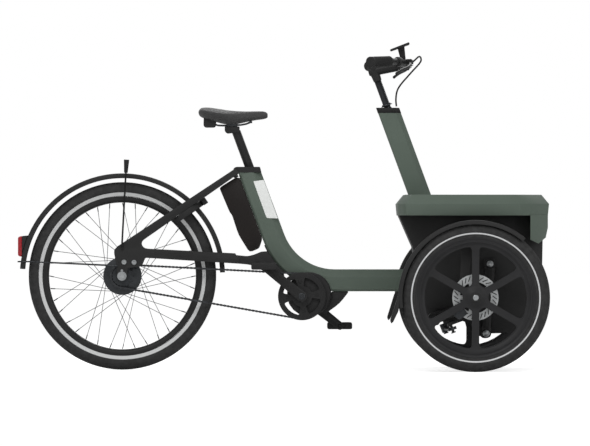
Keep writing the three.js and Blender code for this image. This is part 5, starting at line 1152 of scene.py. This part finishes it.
for index in range(4):
    middle = CRANK + (index + 0.5) * math.pi / 2
    seat = spot(BRACKET_X + 52 * math.cos(middle), -58.4, BRACKET_Z + 52 * math.sin(middle))
    head = [(0.0062, 0), (0.0062, 0.0012), (0.0055, 0.0018), (0.0032, 0.0018), (0.003, 0.0006), (0.0, 0.0006)]
    lathe(guard, seat, -LEFTWARDS, head, 20)
    rod(guard, seat + Vector((0, 0.0005, 0)), seat + Vector((0, 0.008, 0)), 0.004, 10)
piece("chainring_guard", guard, "cranks", black_paint, ("chainring",), smooth_under=30)

crank_bolt = bmesh.new()
lathe(
    crank_bolt,
    spot(BRACKET_X, -81.05, BRACKET_Z),
    -LEFTWARDS,
    [(0.0118, 0), (0.0118, 0.001), (0.0105, 0.0018), (0.0062, 0.0018), (0.0056, -0.004), (0.0, -0.004)],
    36,
)
piece("crank_bolt_right", crank_bolt, "cranks", dark_steel)

# %% [markdown]
# ### Mudguard, brake discs and bolts
#
# A mudguard is a strip rolled into a shallow channel and bent round the wheel, so its section is
# carried round the axle. A brake disc is laser cut: slanted slots shed water and dust, and five arms
# join the braking ring to the hub. The bolt heads are turned caps with a socket or a dome, and a thin
# gasket fills the slit between the motor's bracket and the frame.

# %% Rear mudguard
def swept(shape, section, centre, first, last, steps=72):
    """Carries a closed section of (radius, across) in millimetres round an axle, with closed ends."""
    rings = []
    for step in range(steps + 1):
        angle = math.radians(first + (last - first) * step / steps)
        ahead = Vector((math.cos(angle), 0, math.sin(angle)))
        places = [centre + (ahead * radius + Vector((0, y, 0))) * MM for radius, y in section]
        rings.append([shape.verts.new(place) for place in places])
    for ring, following in zip(rings, rings[1:]):
        for i in range(len(ring)):
            shape.faces.new((ring[i - 1], ring[i], following[i], following[i - 1]))
    shape.faces.new(rings[0])
    shape.faces.new(rings[-1])


def guard_section(radius, half, skirt, wall=2.4):
    """The channel of a mudguard, outside first and then back along the inside."""
    outside = [(skirt, 0), (6, 0), (2.4, 1.6), (0.6, 5), (0, half)]
    right = [(radius - drop, inset - half) for drop, inset in outside]
    left = [(r, -y) for r, y in right[-2::-1]]
    outer = right + left
    inner = [(r - (wall if r > radius - skirt else 0), y * (half - wall) / half) for r, y in reversed(outer)]
    return outer + inner


guard_shape = bmesh.new()
swept(guard_shape, guard_section(360, 32, 17), spot(0, 0, REAR_Z), 2, 176, 120)
piece("rear_mudguard_rolled", guard_shape, "frame", black_plastic, ("rear_mudguard",), smooth_under=40)

# %% Brake discs
for side, sign in SIDES:
    disc_low, disc_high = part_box("brake_disc_" + side)
    disc_centre = Vector((FRONT_CENTRE.x, (disc_low.y + disc_high.y) / 2, FRONT_CENTRE.z))
    disc = bmesh.new()
    half_thick = 0.00125
    lathe(
        disc,
        disc_centre - Vector((0, half_thick, 0)),
        LEFTWARDS,
        [(0.0345, 0.0), (0.0794, 0.0), (0.08, 0.0005), (0.08, 0.002), (0.0794, 0.0025), (0.0345, 0.0025)],
        96,
    )
    openings = bmesh.new()
    for index in range(30):
        angle = index * 2 * math.pi / 30
        turn = Matrix.Rotation(-angle, 4, "Y") @ Matrix.Translation((0.067, 0, 0))
        turn @= Matrix.Rotation(math.radians(38), 4, "Y")
        size_of = Matrix.Diagonal((0.019, 0.01, 0.0032, 1))
        bmesh.ops.create_cube(openings, size=1, matrix=Matrix.Translation(disc_centre) @ turn @ size_of)
    for index in range(5):
        middle = index * 2 * math.pi / 5
        corners = []
        for radius, first, last in ((54.0, -28, 28), (41.0, 24, -24)):
            for step in range(7):
                swing = middle + math.radians(first + (last - first) * step / 6)
                corners.append((radius * math.cos(swing), radius * math.sin(swing), 3))
        plate(openings, flat(corners, 3), -0.005, 0.005, disc_centre)
    piece(
        "brake_disc_cut_" + side,
        carved("disc", disc, openings),
        "front_wheel_" + side,
        disc_steel,
        ("brake_disc_" + side,),
        smooth_under=30,
    )

# %% Axle and bolts
DOME = [(0.0, 0.0), (1.0, 0.0), (1.0, 0.25), (0.93, 0.45), (0.78, 0.6), (0.5, 0.72), (0.0, 0.78)]
SOCKET = [(0.0, 0.0), (1.0, 0.0), (1.0, 0.3), (0.9, 0.42), (0.5, 0.44), (0.46, 0.15), (0.0, 0.15)]


def bolt(shape, place, outwards, radius, head=DOME):
    """Adds a bolt head whose profile is in shares of its radius."""
    lathe(shape, place, outwards, [(r * radius * MM, along * radius * MM) for r, along in head], 32)


axle = bmesh.new()
lathe(
    axle,
    spot(0, -96, REAR_Z),
    LEFTWARDS,
    [(0.0, 0.0), (0.0082, 0.0), (0.0097, 0.0014), (0.0097, 0.1906), (0.0082, 0.192), (0.0, 0.192)],
    32,
)
for side in (-1, 1):
    outwards = Vector((0, side, 0))
    rod(axle, spot(0, side * 83.6, REAR_Z), spot(0, side * 91, REAR_Z), 0.0138, 6)
    washer = [(0.0097, 0), (0.0162, 0), (0.0162, 0.0012), (0.0097, 0.0012)]
    lathe(axle, spot(0, side * 82.4, REAR_Z), outwards, washer, 32)
piece("rear_axle_turned", axle, "frame", bare_steel, ("rear_axle",), smooth_under=30)

dropout_bolts = bmesh.new()
for side in (-1, 1):
    outwards = Vector((0, side, 0))
    for forward, up, radius in ((7.5, 49, 9), (42.5, 48, 9), (0, 19.5, 4.5)):
        bolt(dropout_bolts, spot(forward, side * 82.1, REAR_Z + up), outwards, radius, SOCKET)
piece("dropout_bolts", dropout_bolts, "frame", bare_steel, smooth_under=30)

gasket = bmesh.new()
swept(gasket, [(265, -30), (268.8, -30), (268.8, 30), (265, 30)], spot(745, 0, 541), 203, 229, 24)
piece("bracket_gasket", gasket, "frame", black_plastic, smooth_under=30)

for side, sign in SIDES:
    outwards = Vector((0, sign, 0))
    top_bolt = bmesh.new()
    bolt(top_bolt, spot(1283, sign * 228.5, 373), outwards, 12)
    piece("shock_top_bolt_" + side, top_bolt, "frame", bare_steel, smooth_under=30)
    foot_bolt = bmesh.new()
    bolt(foot_bolt, spot(1270, sign * 228.5, 131), outwards, 12)
    arm = "suspension_arm_" + side
    piece("shock_foot_bolt_" + side, foot_bolt, arm, bare_steel, smooth_under=30)
    cover = bmesh.new()
    lathe(
        cover,
        spot(FRONT_X, sign * 385.2, FRONT_Z),
        outwards,
        [(0.0, 0.0), (0.0162, 0.0), (0.0162, 0.0034), (0.0152, 0.0043), (0.0, 0.0043)],
        40,
    )
    knuckle = "knuckle_" + side
    piece("hub_washer_" + side, cover, knuckle, black_plastic, smooth_under=30)
    end_bolt = bmesh.new()
    lathe(
        end_bolt,
        spot(FRONT_X, sign * 389.3, FRONT_Z),
        outwards,
        [(0.0, 0.0), (0.0096, 0.0), (0.0096, 0.0009), (0.0088, 0.0014)]
        + [(0.0045, 0.0014), (0.0042, 0.0004), (0.0, 0.0004)],
        32,
    )
    piece("hub_bolt_" + side, end_bolt, knuckle, bare_steel, smooth_under=30)

# %% [markdown]
# ### Front wheels, shocks and front mudguards
#
# A front wheel is one casting: a lathe form of hub, web and stepped rim, from which six rounded
# windows are milled. A shock absorber is a can that slides over a thinner body, with an eye at each
# end. A front mudguard is rolled like the rear one, and carries a flap behind and a strut inside.

# %% Front wheels
WHEEL_SECTION = [
    (10.5, -24), (33, -24), (34, -23), (34, -8.5), (36, -7), (179, -7), (183, -8.5), (189, -18), (191, -20),
    (205.4, -20), (205.4, 20.4), (207.6, 21.3), (208.2, 22.1), (207.4, 22.6), (204, 21.8), (200, 18.6),
    (196, 18.4), (195, 19.8), (191.5, 19.6), (190, 18.2), (183, 12.4), (179.5, 11), (41, 11), (37.5, 12.4),
    (33.5, 14), (22, 22.9), (19.5, 24), (10.5, 24),
]
ARM_HALF = 12.4
for side, sign in SIDES:
    wheel_centre = spot(FRONT_X, sign * 360, FRONT_Z)
    section = [(radius * MM, sign * across * MM) for radius, across in WHEEL_SECTION]
    windows = bmesh.new()
    for index in range(6):
        middle = math.radians(120 + 60 * index)
        outline = []
        for radius, steps, rounding in ((176.5, 6, 21), (46.0, 1, 8)):
            reach = math.pi / 6 - math.asin(ARM_HALF / radius)
            turn = 1 if radius > 100 else -1
            for step in range(steps + 1):
                swing = middle + turn * reach * (2 * step / steps - 1)
                corner = (radius * math.cos(swing), radius * math.sin(swing))
                outline.append((*corner, rounding if step in (0, steps) else 0))
        plate(windows, flat(outline), -0.03, 0.03, wheel_centre)
    wheel = carved("wheel", ring_of(section, wheel_centre, 96), windows)
    node = "front_wheel_" + side
    softened(piece("front_wheel_cast_" + side, wheel, node, wheel_paint, (node,)), 0.001)

# %% Shocks
SHOCK_TOP, SHOCK_FOOT = (1283, 372.99), (1270, 131)
CAN = [(0, 78), (9.5, 78), (9.5, 0), (17, 0), (19, 2), (19, 13), (17.6, 15)]
CAN += [(17.6, 95), (19, 97), (19, 107), (15, 111), (0, 111)]
BODY = [(0, 0), (14, 0), (16, 2), (16, 12), (14.6, 14), (14.6, 70)]
BODY += [(16, 72), (16, 75), (14.5, 77), (8, 77), (8, 164), (0, 164)]
EYE = [(0, 0), (14.8, 0), (16, 1.2), (16, 22.8), (14.8, 24), (0, 24)]
for side, sign in SIDES:
    top = spot(SHOCK_TOP[0], sign * 215, SHOCK_TOP[1])
    foot = spot(SHOCK_FOOT[0], sign * 215, SHOCK_FOOT[1])
    for part, share, profile, eye in (("upper", 0.5, CAN, top), ("lower", 0.04, BODY, foot)):
        shock = bmesh.new()
        lathe(shock, foot.lerp(top, share), top - foot, in_metres(profile), 36)
        lathe(shock, eye - Vector((0, 0.012, 0)), LEFTWARDS, in_metres(EYE), 36)
        node = "shock_" + part + "_" + side
        piece(node + "_turned", shock, BODY_OF[node], black_paint, (node,), smooth_under=30)

# %% Front mudguards
FLAP = [(-1, 5), (5, 5), (2, -45, 8), (-17, -84, 4), (-23, -89, 2), (-27, -79, 4)]
STRUT_FOOT = [(-15.5, -1.5, 1), (15.5, -1.5, 1), (15.5, 1.5, 1), (-15.5, 1.5, 1)]
STRUT = [(-59, -24.9, 6), (-28.9, -28.9, 6), (-7, 243), (-7, 265), (-39.1, 263), (-49, 143.1, 20)]
for side, sign in SIDES:
    guard_low, guard_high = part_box("front_mudguard_" + side)
    strut_face = min(abs(guard_low.y), abs(guard_high.y))
    guard_shape = bmesh.new()
    swept(guard_shape, guard_section(268, 31, 15), spot(FRONT_X, sign * 360, FRONT_Z), 50, 188, 96)
    plate(guard_shape, flat(FLAP), sign * 0.329, sign * 0.391, spot(961, 0, FRONT_Z))
    plate(guard_shape, flat(STRUT), sign * strut_face, sign * (strut_face + 0.003), spot(FRONT_X, 0, FRONT_Z))
    plate(guard_shape, flat(STRUT_FOOT, 3), sign * strut_face, sign * 0.36, spot(1206, 0, 519.1))
    node = "front_mudguard_" + side
    piece(node + "_rolled", guard_shape, BODY_OF[node], black_plastic, (node,), smooth_under=40)

# %% [markdown]
# ### Bodies that keep their CAD form
#
# The frame, the tub and the castings already have their final form. Each gets the small rounded
# edges of a real weldment or moulding. Thin bars only need their facets smoothed.

# %% Eased copies
EASED = [
    "main_frame", "steering_column", "rear_frame", "battery", "motor", "seat_post",
    "cargo_tub", "tub_underbody", "tub_floor", "front_crossbeam", "display", "tail_lamp", "tail_lens",
    "ring_lock", "lock_shackle", "crank_left", "crank_right", "pedal_left", "pedal_right",
]
PAIRED = ["knuckle", "suspension_arm", "brake_caliper"]
THIN_BARS = ["saddle_rails", "mudguard_stay", "flag_holder", "steering_shaft"]
THIN_BARS += ["tie_rod_left", "tie_rod_right"]
for node in EASED + [name + side for name in PAIRED for side in ("_left", "_right")]:
    copy = eased(node)
    print(node, len(copy.data.polygons), "faces")
# The ends of the axle stubs are cut back, because a washer and a bolt cover them.
for side, _ in SIDES:
    for corner in bpy.data.objects["knuckle_" + side + "_eased"].data.vertices:
        corner.co.y = max(-0.387, min(0.387, corner.co.y))
for node in THIN_BARS:
    eased(node, width=0, smooth_under=75)

# %% Keep the sizes and finish
size = {"cad": cad_box, "visual": [list(corner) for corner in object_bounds()]}
for visual_corner, cad_corner in zip(size["visual"], size["cad"]):
    print("grown by (mm):", [round((v - c) * 1000, 1) for v, c in zip(visual_corner, cad_corner)])
